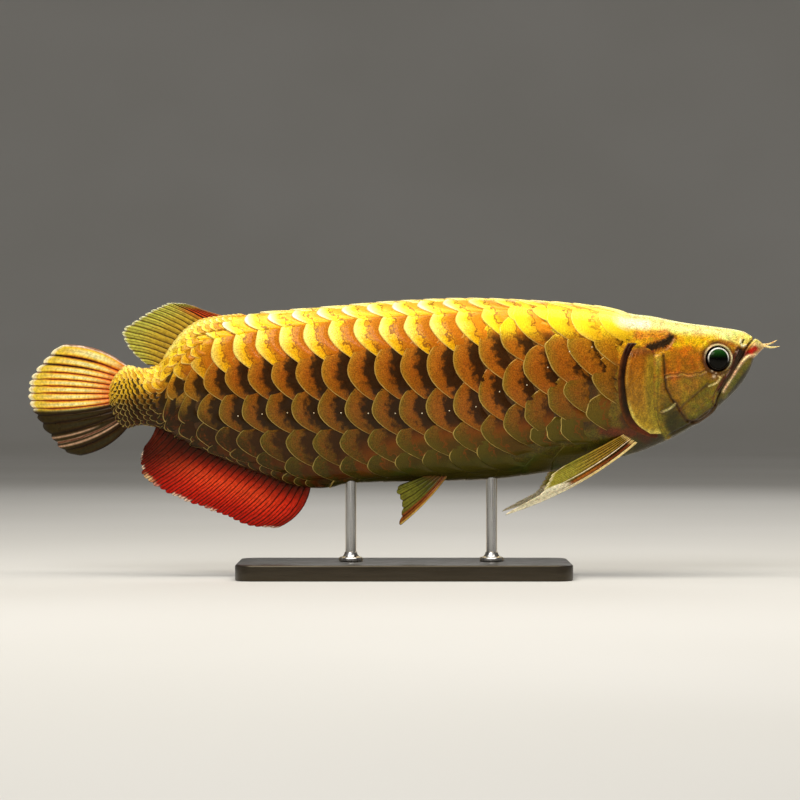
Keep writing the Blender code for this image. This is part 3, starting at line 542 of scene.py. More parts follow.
# %% The skin's rings and its sheet
SKIN_AROUND = 460
HEAD_FROM_X, FACE_FROM_X = 158.0, 218.0
rings = np.concatenate((
    [TAIL_ROOT_X], np.arange(TAIL_ROOT_X, HEAD_FROM_X, 5.0), np.arange(HEAD_FROM_X, FACE_FROM_X, 0.85),
    np.arange(FACE_FROM_X, SNOUT_X, 0.45), [SNOUT_X, SNOUT_X],
))


def skin_place(u, v):
    index = np.round(u * (len(rings) - 1)).astype(int)
    x = rings[index]
    angle = angle_at(x, (2 * v - 1) * half_girth(x))
    points = surface(x, angle)
    lift = np.zeros(len(x))
    head = x > HEAD_FROM_X - 10
    lift[head] = head_relief(points[head]) * ease((x[head] - 150.0) / 14.0)
    lift *= 1 - ease((x - 263.5) / 5.5)
    points = lifted(x, angle, lift)
    closed = (index == 0) | (index == len(rings) - 1)
    top, bottom = through(BACK_LINE, x), through(BELLY_LINE, x)
    points[closed] = np.stack((x, 0 * x, (top + bottom) / 2), axis=-1)[closed]
    return points


skin = bent_sheet("skin", len(rings) - 1, SKIN_AROUND, skin_place)
x, y, z = places_of(skin)
colours = painted(x, z)
from_sight, turn = from_eye(np.stack((x, y, z), axis=-1))
SMOOTH_BELLY = ((-80.0, 50.0), (-36.0, 78.0), (-18.0, 81.0), (34.0, 90.0), (72.0, 93.0), (117.0, 102.0), (150.0, 112.0))
# Where plates cover the skin it is painted dark brown, as painted shade in the gaps between and under the plates.
shade_under_scales = ease((150.0 - x) / 8.0) * ease((z - through(SMOOTH_BELLY, x)) / 8.0) * ease((184.0 - z) / 6.0)
colours = mix(colours, shades((58, 28, 8))[0], 0.9 * shade_under_scales * ease((x + 150.0 + 60.0 * ease((140.0 - z) / 20.0)) / 20.0))
# Dark strokes along the mouth, the nostril slit and the grooves and seams are painted shade in the creases. The lower
# lip's cream is partly its own colour and partly painted highlight.
for line, width, colour, strength in (
    (MOUTH, 0.8, (34, 4, 5), 0.95), (LOWER_LIP, 1.15, (255, 214, 170), 0.97),
    (CHEEK_CREASE, 1.8, (112, 52, 10), 0.75), (CHEEK_CREASE, 0.55, (240, 180, 84), 0.95),
    (PREOPERCLE_GROOVE, 1.5, (110, 62, 14), 0.6), (PREOPERCLE_GROOVE, 0.7, (44, 16, 5), 0.95),
    (CHEEK_SEAM, 1.6, (84, 42, 10), 0.7),
    (PREOPERCLE_RIDGE, 2.4, (176, 152, 34), 0.8), (PREOPERCLE_RIDGE, 0.7, (96, 74, 14), 0.75),
    (RIDGE_CREASE, 2.2, (44, 22, 6), 0.85), (RIDGE_CREASE, 0.7, (255, 230, 160), 0.95),
    (EYE_FOLD, 0.6, (255, 232, 160), 0.95), (MAXILLA_EDGE, 0.6, (150, 70, 60), 0.5),
    (NOSTRIL_SLIT, 0.7, (20, 8, 3), 0.97), (NOSTRIL_FLAP, 0.8, (255, 252, 214), 0.9),
    (SUBORBITAL_SEAM, 0.8, (120, 90, 30), 0.4), (GULAR_SEAM, 0.8, (34, 20, 5), 0.7),
    (((239.6, 152.0), (241.6, 154.0), (243.0, 156.6)), 0.7, (176, 150, 84), 0.7),
    (((157.8, 182.6), (162.6, 178.8), (168.6, 178.2), (165.8, 182.6)), 0.5, (90, 50, 10), 0.8),
    (((264.2, 167.2), (268.0, 169.2), (271.0, 170.6)), 0.8, (255, 226, 206), 0.8),
):
    colours = mix(colours, shades(colour)[0], strength * wave(to_line(x, z, line), width))
blotch = to_line(x, z, TEMPLE_BLOTCH) + 0.9 * np.sin(1.9 * x + 2.2 * np.sin(1.3 * z)) * np.sin(1.1 * z + 0.8 * x)
colours = mix(colours, shades((150, 40, 30))[0], 0.6 * ease((5.6 - blotch) / 2.0))
colours = mix(colours, shades((18, 2, 5))[0], 0.97 * ease((3.5 - blotch) / 1.2))
colours = mix(colours, shades((255, 176, 120))[0], 0.9 * wave(to_line(x, z, BLOTCH_EDGE), 0.5))
above = 0.5 + 0.5 * np.sin(turn + 0.35)
behind = 0.5 - 0.5 * np.cos(turn - 0.25)
colours = mix(colours, shades((48, 8, 12))[0], 0.9 * behind * wave(np.maximum(from_sight - 10.6, 0), 2.4))
colours = mix(colours, shades((90, 34, 12))[0], 0.8 * above * wave(from_sight - 11.8, 0.8))
colours = mix(colours, shades((255, 240, 196))[0], 0.98 * ease(above * 1.6 - 0.25) * wave(from_sight - 10.3, 0.7))
colours = mix(colours, shades((26, 8, 6))[0], 1 - ease((from_sight - 9.1) / 0.5))
# Pale spots below and before the eye are painted glints.
for glint_x, glint_z, radius in ((232.0, 151.2, 1.1), (230.6, 155.3, 0.7), (233.4, 153.6, 0.5), (248.6, 169.7, 0.5)):
    colours = mix(colours, shades((255, 246, 210))[0], 0.95 * wave(np.hypot(x - glint_x, z - glint_z), radius))
colours = mix(colours, shades((12, 5, 3))[0], 1 - ease((from_sight - 8.2) / 0.8))
knob = np.hypot(x - 189.4, (z - 163.0) * 0.8)
colours = mix(colours, shades((214, 184, 70))[0], 0.7 * wave(knob, 2.6))
tint(skin, colours)

skin_recipe = Recipe("wet_skin", Coat_Weight=0.2, Coat_Roughness=0.14, Metallic=0.1, Specular_IOR_Level=0.35)
blotches = skin_recipe.spread(skin_recipe.noise(240, 5), 0.3, 0.7, 0.7, 1.18)
grain = skin_recipe.spread(skin_recipe.noise(1000, 3), 0.35, 0.65, 0.62, 1.24)
worn = skin_recipe.maths("MULTIPLY", blotches, grain)
skin_colour = skin_recipe.blend(1.0, skin_recipe.paint(), worn, "MULTIPLY")
warmth = skin_recipe.blend(skin_recipe.spread(skin_recipe.noise(160, 5), 0.36, 0.64), plain(255, 206, 180),
                           plain(226, 255, 200))
skin_colour = skin_recipe.blend(0.5, skin_colour, warmth, "MULTIPLY")
skin_shape = skin_recipe.bump(skin_recipe.noise(480, 5), 0.0009, 0.6)
skin_pores = skin_recipe.bump(skin_recipe.noise(2600, 2), 0.00025, 0.35, after=skin_shape)
skin_shine = skin_recipe.spread(skin_recipe.noise(300, 4), 0.3, 0.7, 0.28, 0.46)
dress(skin, skin_recipe.finish(skin_colour, skin_shine, skin_pores), "skin",
      "head", "lower_jaw", "trunk", "tail", "tail_stalk")

# %% [markdown]
# ## The scales
# An arowana's scales are large bony plates. Each is rooted under the one ahead, and its free edge lies on the
# one behind. Rows are set out as lines along the side, and the tips along a row as a smooth run of places.
# A plate is a small sheet: lines across it copy its round free edge, and its height falls from the tip to the
# root, so that at any spot the plate whose tip is nearest lies on top, as on the fish.

# %% Where the rows run and where their tips lie
ROW_LINES = {
    2: ((-203, 147), (-173, 157), (-145, 166), (-111, 174), (-76, 179.5), (-38, 184.7), (0, 187), (42, 192),
        (61, 195.5), (100, 199), (165, 196)),
    3: ((-203, 140.5), (-190, 143), (-164, 145), (-134, 150), (-99, 152.7), (-61, 154.6), (-3, 158.6), (20, 159.4),
        (37, 162.2), (56, 169), (72, 178.7), (90, 186.2), (109, 190), (165, 191.5)),
    4: ((-203, 133), (-190, 130), (-168, 125), (-138, 125), (-85, 127), (-4, 127), (36, 129.5), (56, 136.5),
        (73, 145.6), (88, 156.1), (105, 165.9), (123, 167.8), (165, 175)),
    5: ((-203, 126), (-185, 117), (-156, 109.6), (-125, 103.4), (-68, 101.2), (-6, 104.2), (35, 108), (57, 111),
        (74, 117), (90, 126), (107, 135), (119, 141), (141, 150), (165, 157)),
    6: ((-203, 120), (-180, 108.5), (-148, 96.6), (-111, 89.5), (-90, 83.8), (-50, 83.8), (13, 88.4), (56, 94.4),
        (93, 105), (119, 115.5), (136, 126.8), (165, 140)),
}
ROW_TIPS = {
    0: ((0, -108.0), (4, -21.0), (14, 143.0)),
    1: ((-3, -178.5), (-1, -163.4), (0, -151.4), (2, -119.7), (6, -46.7), (16, 145.0)),
    2: ((-3, -200.3), (0, -172.8), (3, -128.0), (10, 0.0), (13, 58.0), (17, 134.0)),
    3: ((0, -199.2), (3, -164.5), (7, -99.0), (12, -2.6), (15, 55.7), (19, 128.0), (20, 147.6)),
    4: ((-1, -199.5), (2, -168.7), (5, -121.2), (11, -3.8), (14, 55.7), (17, 104.7), (19, 141.6)),
    5: ((-2, -189.8), (0, -168.7), (3, -125.4), (6, -68.1), (10, 15.1), (12, 57.2), (15, 106.9), (17, 140.8)),
    6: ((-3, -184.0), (0, -147.6), (4, -68.5), (9, 33.9), (12, 92.6), (15, 136.3)),
    7: ((0, -56.0), (5, 46.0), (8, 110.0)),
}
# Each row's edge: how far its upper and its lower corner lie ahead of the tip, in lengths, and beside it, in row
# spacings, and how square the lower half's curve is.
ROW_EDGES = (
    (0.40, 0.60, 0.40, 0.60, 2.0), (0.20, 0.50, 0.72, 0.62, 1.6), (0.22, 0.48, 0.78, 0.80, 1.5),
    (0.47, 0.64, 0.77, 0.76, 1.9), (0.38, 0.58, 0.82, 0.70, 2.0), (0.32, 0.46, 0.98, 0.86, 1.8),
    (0.25, 0.45, 0.75, 0.65, 1.8), (0.40, 0.60, 0.40, 0.60, 2.0),
)
# The plates behind the gill cover don't keep to the rows. For each: tip x and z, upper corner, lower corner, row.
SHOULDER_PLATES = (
    (71.1, 184.3, 79.9, 197.0, 88.1, 163.1, 3),
    (81.9, 197.4, 84.0, 207.2, 104.4, 173.9, 3), (106.8, 196.6, 108.5, 205.6, 121.9, 179.3, 3),
    (125.2, 192.5, 126.0, 203.9, 141.5, 178.5, 2), (146.0, 194.1, 147.3, 203.9, 158.3, 181.9, 2),
    (73.4, 148.4, 82.4, 163.9, 89.7, 128.0, 4),
    (88.9, 161.5, 98.3, 174.5, 106.8, 138.0, 4), (105.2, 173.7, 112.6, 182.3, 119.1, 149.2, 4),
    (121.9, 177.8, 130.1, 190.1, 140.3, 153.6, 4), (142.0, 178.6, 149.3, 190.9, 159.9, 161.0, 4),
    (74.2, 118.2, 81.5, 130.1, 84.8, 103.5, 5),
    (89.7, 126.4, 98.7, 140.3, 97.9, 112.1, 5), (106.8, 137.0, 114.2, 149.2, 117.5, 120.8, 5),
    (119.1, 141.1, 128.9, 157.0, 135.4, 125.7, 5), (140.7, 150.1, 148.9, 166.4, 155.0, 135.0, 5),
    (93.8, 108.4, 99.5, 115.0, 100.3, 100.3, 6), (106.0, 111.7, 111.7, 120.3, 110.1, 103.5, 6),
    (116.6, 115.0, 121.5, 125.7, 123.2, 103.5, 6), (135.8, 125.6, 143.6, 137.6, 146.8, 114.5, 6),
)
SHOULDER_FROM_X = 62.0
ROW_TURN = 0.35
TAIL_ROWS = 12
# How dark each row's front zone is painted: partly the plates' own dark base, partly painted shade under the plate
# ahead.
ROW_DEPTH = (0.0, 0.05, 0.35, 1.0, 1.0, 0.95, 0.8, 0.3)
TOP_ROW_SHARE = ((-200.0, 0.28), (-100.0, 0.31), (0.0, 0.4), (160.0, 0.42))
REAR_STRETCH = (0.0, 0.0, 0.5, 0.12, 0.05, 0.0, 0.0, 0.0)
SCALE_RISE = 1.5
SIDE_TILT = 0.25
PLATE_REACH = 2.3
PAST_CORNERS = 1.25
PLATE_ACROSS, PLATE_ALONG = 14, 8
ALONG_STEPS = np.array([-0.02, 0.0, 0.03, 0.075, 0.2, 0.42, 0.68, 0.95, 1.2])


def row_tape(row, x):
    """The tape length of a row at x."""
    if row == 0:
        return 0 * x
    if row == 1:
        return through(TOP_ROW_SHARE, x) * row_tape(2, x)
    if row == 7:
        return half_girth(x)
    return tape_at(x, side_angle(x, through(ROW_LINES[row], x)))


def plates_on(line, tips, spacing, row, rise, raised=0.0):
    """One line for each plate: tip x, tape, length, slope, rise, row, four corner lengths, squareness, raised."""
    length = np.gradient(tips)
    slope = (line(tips + 3.0) - line(tips - 3.0)) / 6.0
    rise = rise * np.clip(length / 17.0, 0.3, 1.0)
    high_x, high, low_x, low, square = ROW_EDGES[row]
    high = high * (1 + REAR_STRETCH[row] * ease((-30.0 - tips) / 70.0))
    same = np.ones(len(tips))
    return np.stack((
        tips, line(tips), length, slope, rise, same * row, high_x * length, high * spacing, low_x * length,
        low * spacing, same * square, same * raised,
    ), axis=1)


def row_plates(row):
    """The plates of one of the large rows."""
    places = ROW_TIPS[row]
    tips = through(places, np.arange(places[0][0], places[-1][0] + 1))
    line = functools.partial(row_tape, row)
    above = line(tips) - row_tape(row - 1, tips) if row > 0 else row_tape(1, tips)
    below = row_tape(row + 1, tips) - line(tips) if row < 7 else above
    rise = SCALE_RISE * ease((tips + 235.0) / 60.0)
    plates = plates_on(line, tips, (above + below) / 2, row, rise * (0.4 if row == 7 else 1.0))
    last = {0: 200.0, 1: 200.0, 2: 108.0, 7: 200.0}.get(row, SHOULDER_FROM_X)
    return plates[plates[:, 0] < last]


def shoulder_plates():
    """The plates behind the gill cover, each set by its own tip and corners."""
    tip, tip_z, high_x, high_z, low_x, low_z, row = np.array(SHOULDER_PLATES).T
    tape, high, low = (tape_at(tip, side_angle(tip, z)) for z in (tip_z, high_z, low_z))
    same = np.ones(len(tip))
    length = np.clip(0.7 * (low - high), 15.0, 21.0)
    rise = SCALE_RISE * (1 - 0.4 * ease((tip - 100.0) / 40.0))
    return np.stack((
        tip, tape, length, 0 * same, rise, row, high_x - tip, np.maximum(tape - high, 4.0), low_x - tip, low - tape,
        same * 2.5, 0 * same,
    ), axis=1)


def small_plates():
    """The little plates that crowd round the foot of the tail fin and along the dorsal and anal fins."""
    found = []
    for j in range(TAIL_ROWS + 1):
        share = j / TAIL_ROWS
        tips = np.concatenate((np.arange(-221.0 + 1.6 * (j % 2), -206.0, 3.2), np.arange(-205.5 + 2.2 * (j % 2), -191.0, 4.8)))
        row = min(2 + j // 3, 6)
        found.append(plates_on(lambda x, share=share: share * half_girth(x), tips, half_girth(tips) / TAIL_ROWS, row, 3.0, 0.3))
    for tape, pitch, wide, row in ((1.5, 3.6, 3.0, 1), (5.0, 4.6, 4.0, 1), (9.5, 6.0, 5.0, 2), (15.0, 6.6, 7.0, 2)):
        tips = np.arange(-190.0 - 0.4 * tape, -118.0 - 2.9 * tape, pitch)
        found.append(plates_on(lambda x, tape=tape: tape + 0 * x, tips, np.full(len(tips), wide), row, 3.0, 1.0))
    found.append(plates_on(lambda x: 24.0 + 0 * x, np.array((-167.0, -160.0)), np.full(2, 8.0), 2, 3.0, 0.6))
    tips = np.arange(-186.0, -66.0, 8.6)
    found.append(plates_on(lambda x: half_girth(x) - 7.0, tips, np.full(len(tips), 7.5), 6, 1.6))
    return np.concatenate(found)


def plate_points(plates, u, v, side):
    """The points of all plates: u runs across each one, and v from its free edge to its hidden root."""
    tip, tape, length, slope, rise, row, high_x, high, low_x, low, square, raised = (
        column[:, None] for column in plates.T)
    across = PAST_CORNERS * (2 * u - 1)
    beside = np.abs(across)
    step = ALONG_STEPS[np.round(v * PLATE_ALONG).astype(int)]
    edge = np.where(across < 0, high_x * beside ** 2, low_x * beside ** square)
    waves = (0.01 + 0.022 * ease((tip - 50.0) / 50.0)) * np.sin(across * 6.5 + tip * 1.7 + tape) * length
    forward = edge + step * length + waves
    aside = np.where(across < 0, high, low) * across * (1 - 0.1 * np.clip(step, 0, 1))
    turn = ROW_TURN * slope
    x = tip + (forward - turn * aside) / np.sqrt(1 + turn ** 2)
    around = tape + (aside + forward * turn) / np.sqrt(1 + turn ** 2)
    x = np.clip(x, TAIL_ROOT_X + 0.5, 186.0)
    lift = raised + rise * (1 - forward / length / PLATE_REACH) + SIDE_TILT * rise * across
    lip = 0.1 * wave(step - 0.045, 0.035) - 0.75 * (step < -0.001)
    lift = lift + rise * lip + 0.2 * rise * (1 - (across / PAST_CORNERS) ** 2) * np.sin(np.pi * np.clip(step, 0, 1))
    lift = lift - 1.1 * rise * (ease((beside - 1.0) / 0.25) + ease((step - 0.95) / 0.25))
    angle = angle_at(x, around)
    under_cover = 158.0 + 10.5 * ease((surface(x, angle)[..., 2] - 171.0) / 10.0)
    last_ones = (row > 4) & (tip > 118.0)
    lift = lift - 2.6 * ease((x - under_cover) / 6.0) - 1.6 * last_ones * ease((x - tip - 18.0) / 3.0)
    points = lifted(x, angle, lift)
    if side > 0:
        points[..., 1] *= -1
    return points, step, 0.6 * across, edge / length


def make_scales(name, plates, side):
    """All the plates of one side as one joined mesh, with what the finish needs on each point."""
    bm = bmesh.new()
    for _ in plates:
        bmesh.ops.create_grid(bm, x_segments=PLATE_ACROSS, y_segments=PLATE_ALONG, size=0.5)
    each = len(bm.verts) // len(plates)
    bm.verts.ensure_lookup_table()
    flat = np.array([bm.verts[i].co[:2] for i in range(each)]) + 0.5
    points, step, across, edge = plate_points(plates, flat[:, 0], flat[:, 1], side)
    for v, point in zip(bm.verts, points.reshape(-1, 3) * MM):
        v.co = point
    if side < 0:
        bmesh.ops.reverse_faces(bm, faces=bm.faces)
    unwrap = bm.loops.layers.uv.new("OFBake")
    root_u = (plates[:, 0] - TAIL_ROOT_X) / (SNOUT_X - TAIL_ROOT_X)
    root_v = 0.5 + side * plates[:, 1] / (2 * half_girth(plates[:, 0]))
    bm.verts.index_update()
    for face in bm.faces:
        for corner in face.loops:
            plate, spot = divmod(corner.vert.index, each)
            corner[unwrap].uv = (root_u[plate] + 0.003 * (flat[spot, 0] - 0.5),
                                 root_v[plate] + 0.003 * (flat[spot, 1] - 0.5))
    piece = to_object(name, bm)
    count = len(plates)
    spread = np.random.default_rng(11 + side).uniform(-1, 1, count)
    dark_from = 1 - 0.3 * ease((plates[:, :1] - 60.0) / 50.0)
    keep_values(piece, "Front", ((step + 0.45 * edge) * dark_from).ravel())
    keep_values(piece, "Edge", (np.broadcast_to(step, (count, each)) * plates[:, 2:3]).ravel())
    keep_values(piece, "Across", np.broadcast_to(across, (count, each)).ravel())
    row = np.repeat(plates[:, 5], each)
    x, _, z = places_of(piece)
    soft = ease((through(SMOOTH_BELLY, x) + 3.0 - z) / 9.0)
    nape = 0.9 * ease((x - 130.0) / 28.0) * ((row < 3) | (z > 184.0))
    keep_values(piece, "Soft", soft)
    keep_values(piece, "Firm", 1 - np.maximum(soft, nape))
    keep_values(piece, "Deep", np.array(ROW_DEPTH)[row.astype(int)])
    keep_values(piece, "Chance", np.repeat(spread, each))
    return piece


# Each row's colours at the free edge, in the middle and at the front. The near-white edges of the two top rows are
# partly pale gold and partly painted highlight.
ROW_COATS = (
    ((255, 250, 200), (255, 236, 110), (255, 214, 60)),
    ((255, 252, 220), (255, 226, 24), (244, 158, 12)),
    ((255, 238, 120), (248, 186, 10), (206, 104, 8)),
    ((170, 116, 26), (160, 78, 12), (112, 44, 8)),
    ((118, 92, 24), (132, 68, 14), (90, 44, 10)),
    ((92, 80, 18), (104, 60, 12), (72, 40, 8)),
    ((72, 66, 12), (68, 52, 10), (50, 36, 8)),
    ((54, 50, 8), (54, 50, 8), (54, 50, 8)),
)


PEDUNCLE_SHADE = ((-225.0, 131.0), (-190.0, 134.0), (-150.0, 124.0), (-80.0, 96.0))


def paint_scales(piece, plates):
    """Each row has its own colours from the free edge forward; the fish's own paint is laid thinly over them."""
    rows = np.repeat(plates[:, 5].astype(int), len(piece.data.vertices) // len(plates))
    coats = shades(*[colour for coat in ROW_COATS for colour in coat]).reshape(len(ROW_COATS), 3, 3)[rows]
    step, across = values_of(piece, "Front"), values_of(piece, "Across")
    coat = mix(mix(coats[:, 0], coats[:, 1], ease((step - 0.02) / 0.34)), coats[:, 2], ease((step - 0.45) / 0.3))
    coat = mix(coat, coat * (0.72, 0.86, 0.6), ease(across / 0.6) * (rows > 2))
    x, _, z = places_of(piece)
    warm = ease((x + 20.0) / 90.0) * np.array((0, 0, 0, 1, 1, 0.4, 0, 0))[rows]
    coat = mix(coat, mix(shades((150, 116, 30)), shades((176, 88, 16)), ease((step - 0.02) / 0.26)), 0.62 * warm)
    # The upper rows behind the head are painted bright yellow with little dark front zone: partly the fish's gold,
    # partly painted light from above.
    lit_gold_upper = ease((z - 178.0) / 9.0) * ease((x - 20.0) / 60.0) * (rows > 0)
    coat = mix(coat, mix(shades((255, 226, 24)), shades((236, 132, 16)), ease((step - 0.3) / 0.4)), 0.85 * lit_gold_upper)
    keep_values(piece, "Deep", values_of(piece, "Deep") * (1 - 0.85 * lit_gold_upper))
    mossy = ease((through(SMOOTH_BELLY, x) + 28.0 - z) / 18.0) * ease((x + 60.0) / 70.0)
    coat = mix(coat, mix(shades((80, 70, 14)), shades((62, 44, 8)), ease((step - 0.3) / 0.4)), 0.85 * mossy)
    keep_values(piece, "Deep", values_of(piece, "Deep") * (1 - 0.94 * mossy))
    # Below a line along the tail's foot the plates are painted near black, as painted shade.
    low = ease((through(PEDUNCLE_SHADE, x) - z) / 12.0) * ease((-70.0 - x) / 60.0)
    coat = mix(coat, shades((30, 16, 4)), 0.8 * low)
    body = painted(x, np.clip(z, through(BELLY_LINE, x), through(BACK_LINE, x)))
    ends = np.maximum(ease((-120.0 - x) / 60.0), 0.5 * ease((x - 110.0) / 50.0))
    ends = np.maximum(ends, 1.2 * (1 - values_of(piece, "Firm")))
    tint(piece, mix(coat, body, 0.15 + 0.65 * ends))


# %% The finish of the scales
scale_recipe = Recipe("gold_scales", Coat_Weight=0.16, Coat_Roughness=0.12, Metallic=0.25,
                      Specular_IOR_Level=0.3, Specular_Tint=plain(255, 214, 130))
front, edge_mm, beside = scale_recipe.value("Front"), scale_recipe.value("Edge"), scale_recipe.value("Across")
firm = scale_recipe.value("Firm")
deep = scale_recipe.value("Deep")
cloud = scale_recipe.noise(230, 5)
# Each plate darkens towards the plate ahead, near black on the deep rows: partly its own dark base, partly painted
# shade under that plate's edge.
under = scale_recipe.maths("ADD", front, scale_recipe.spread(cloud, 0.25, 0.75, -0.16, 0.16))
under = scale_recipe.maths("SUBTRACT", under, scale_recipe.maths("MULTIPLY", beside, 0.12))
shaded = scale_recipe.maths("MULTIPLY", scale_recipe.spread(under, 0.44, 0.72, 0.0, 0.98), firm)
lively = scale_recipe.spread(scale_recipe.noise(1100, 3), 0.3, 0.7, 0.6, 1.32)
base = scale_recipe.blend(scale_recipe.spread(deep, 0.0, 0.6, 0.3, 1.0), scale_recipe.paint(), lively, "MULTIPLY")
ember = scale_recipe.maths("MULTIPLY", scale_recipe.spread(scale_recipe.noise(420, 4), 0.5, 0.75, 0.0, 0.34), deep)
base = scale_recipe.blend(ember, base, plain(150, 56, 10))
moss = scale_recipe.spread(scale_recipe.noise(60, 4), 0.5, 0.72, 0.0, 0.6)
moss = scale_recipe.maths("MULTIPLY", moss, scale_recipe.value("Soft"))
base = scale_recipe.blend(moss, base, plain(44, 62, 12))
brown = scale_recipe.blend(0.5, base, plain(186, 84, 4))
dark = scale_recipe.blend(deep, brown, scale_recipe.blend(0.93, base, plain(20, 5, 3)))
base = scale_recipe.blend(scale_recipe.maths("MULTIPLY", shaded, scale_recipe.spread(deep, 0.0, 0.6)), base, dark)
border = scale_recipe.maths("ABSOLUTE", scale_recipe.maths("SUBTRACT", under, 0.56))
border = scale_recipe.maths("MULTIPLY", scale_recipe.spread(border, 0.02, 0.06, 0.75, 0.0), firm)
border = scale_recipe.maths("MULTIPLY", border, scale_recipe.spread(deep, 0.35, 0.9, 1.0, 0.0))
base = scale_recipe.blend(border, base, plain(120, 58, 10))
rim = scale_recipe.maths("MULTIPLY", scale_recipe.spread(edge_mm, 0.3, 0.75, 0.95, 0.0), firm)
rim = scale_recipe.maths("MULTIPLY", rim, scale_recipe.spread(scale_recipe.noise(110, 3), 0.35, 0.65, 0.5, 1.0))
paleness = scale_recipe.maths("ADD", scale_recipe.spread(beside, -0.3, 0.5, 0.3, 0.62), scale_recipe.spread(deep, 0.4, 1.0, 0.3, 0.0))
pale = scale_recipe.blend(paleness, scale_recipe.paint(), plain(240, 206, 112))
base = scale_recipe.blend(rim, base, pale)
growth = scale_recipe.maths("SINE", scale_recipe.maths("MULTIPLY", front, 95.0))
rays_out = scale_recipe.maths("SINE", scale_recipe.maths("MULTIPLY", beside, 60.0))
scale_shape = scale_recipe.bump(growth, 0.00005, 0.4)
scale_shape = scale_recipe.bump(rays_out, 0.00003, 0.25, after=scale_shape)
scale_shape = scale_recipe.bump(scale_recipe.noise(650, 4), 0.0004, 0.45, after=scale_shape)
scale_shine = scale_recipe.spread(cloud, 0.3, 0.7, 0.32, 0.5)
gold_scales = scale_recipe.finish(base, scale_shine, scale_shape)

# %% The scales of each side and of the back's and the belly's midlines
side_plates = np.concatenate([small_plates(), shoulder_plates()] + [row_plates(row) for row in (6, 5, 4, 3, 2, 1)])
for side_name, side in SIDES.items():
    scales = make_scales("scales_" + side_name, side_plates, side)
    paint_scales(scales, side_plates)
    dress(scales, gold_scales, "scales", "trunk", "tail")
midline_plates = np.concatenate([row_plates(row) for row in (0, 7)])
midline = make_scales("scales_midline", midline_plates, -1)
paint_scales(midline, midline_plates)
dress(midline, gold_scales, "scales", "trunk", "tail")

# %% [markdown]
# ## The lateral line
# Fish feel the water move through a row of pores along each side. On the fourth row each plate has one, a small
# pale boss near the front of the part that shows.

# %% One pore on each plate of the fourth row
PORE_AHEAD, PORE_BELOW, PORE_RADIUS = 0.86, 3.2, 0.5


def make_pores(name, side):
    plates = np.concatenate((row_plates(4), shoulder_plates()))
    plates = plates[(plates[:, 0] > -150.0) & (plates[:, 0] < 135.0) & (plates[:, 5] == 4)]
    tip, tape, length, slope, rise = plates.T[:5]
    x = tip + PORE_AHEAD * length
    tape = tape + PORE_AHEAD * length * slope + PORE_BELOW
    lift = rise * (1 - PORE_AHEAD / PLATE_REACH) + 0.1 * rise
    bm = bmesh.new()
    for place in lifted(x, angle_at(x, tape), lift):
        place[1] *= -side
        bmesh.ops.create_icosphere(bm, subdivisions=2, radius=PORE_RADIUS * MM,
                                   matrix=mathutils.Matrix.Translation(place * MM))
    return to_object(name, bm)


pore_recipe = Recipe("pore_pearl", Coat_Weight=0.3, Coat_Roughness=0.1, Roughness=0.3)
pearl = pore_recipe.blend(pore_recipe.spread(pore_recipe.noise(900, 2), 0.3, 0.7), plain(255, 240, 206),
                          plain(214, 186, 140))
pore_pearl = pore_recipe.finish(pearl)
for side_name, side in SIDES.items():
    pores = make_pores("lateral_line_" + side_name, side)
    dress(pores, pore_pearl, "scales", "trunk", "tail")

# %% [markdown]
# ## The gill covers
# The gill cover is one broad, thin plate of bone under the skin. It hangs from the skull, tucks under the ridge
# in front and ends in a free, rounded edge behind. A sheet between its two edge lines is bent over the body, and
# its edge is turned down so that it has a thickness to show. Fine streaks fan out from the knob at its top.

# %% Two domed plates
GILL_COVER_TOP_Z, GILL_COVER_BOTTOM_Z = 175.5, 108.0
GILL_COVER_REAR = (
    (0.0, 173.5), (0.06, 169.6), (0.2, 165.9), (0.4, 164.2), (0.62, 165.9), (0.78, 169.0), (0.9, 174.5),
    (1.0, 185.0),
)
GILL_COVER_FRONT = (
    (0.0, 182.0), (0.06, 186.5), (0.16, 188.6), (0.4, 187.6), (0.62, 187.9), (0.78, 189.6), (0.9, 192.6),
    (1.0, 194.5),
)
GILL_COVER_KNOB = (189.0, 164.0)
GILL_COVER_EDGE, GILL_COVER_DOME = 1.25, 0.9


def gill_cover_place(u, v, side):
    """u runs from the free rear edge to the front, and v from the top down."""
    rear, front = through(GILL_COVER_REAR, v), through(GILL_COVER_FRONT, v)
    x = rear + (front - rear) * u
    z = GILL_COVER_TOP_Z + (GILL_COVER_BOTTOM_Z - GILL_COVER_TOP_Z) * v
    away = np.minimum((x - rear) * 0.95, 0.9 * (1 - v) * 67.5)
    shoulder = np.sqrt(np.clip(1 - (1 - np.clip(away / 1.4, 0, 1)) ** 2, 0, 1))
    shoulder = shoulder * ease(v / 0.16)
    dome = np.sin(np.pi * np.clip(u, 0, 1) ** 0.7) * np.sin(np.pi * v)
    tuck = ease((u - 0.72) / 0.28)
    height = -0.5 + (0.5 + GILL_COVER_EDGE) * shoulder * (1 - 0.85 * tuck) + GILL_COVER_DOME * dome * (1 - tuck)
    reach = np.hypot(x - GILL_COVER_KNOB[0], z - GILL_COVER_KNOB[1])
    turn = np.arctan2(z - GILL_COVER_KNOB[1], GILL_COVER_KNOB[0] - x)
    streaks = 0.06 * np.sin(turn * 46 + 1.5 * np.sin(reach * 0.21)) * ease(reach / 18) * shoulder
    growth = 0.07 * np.sin(np.minimum(away, 7.0) * 2.6) * (away < 7.0) * shoulder
    return on_side(x, z, height + streaks + growth, side)


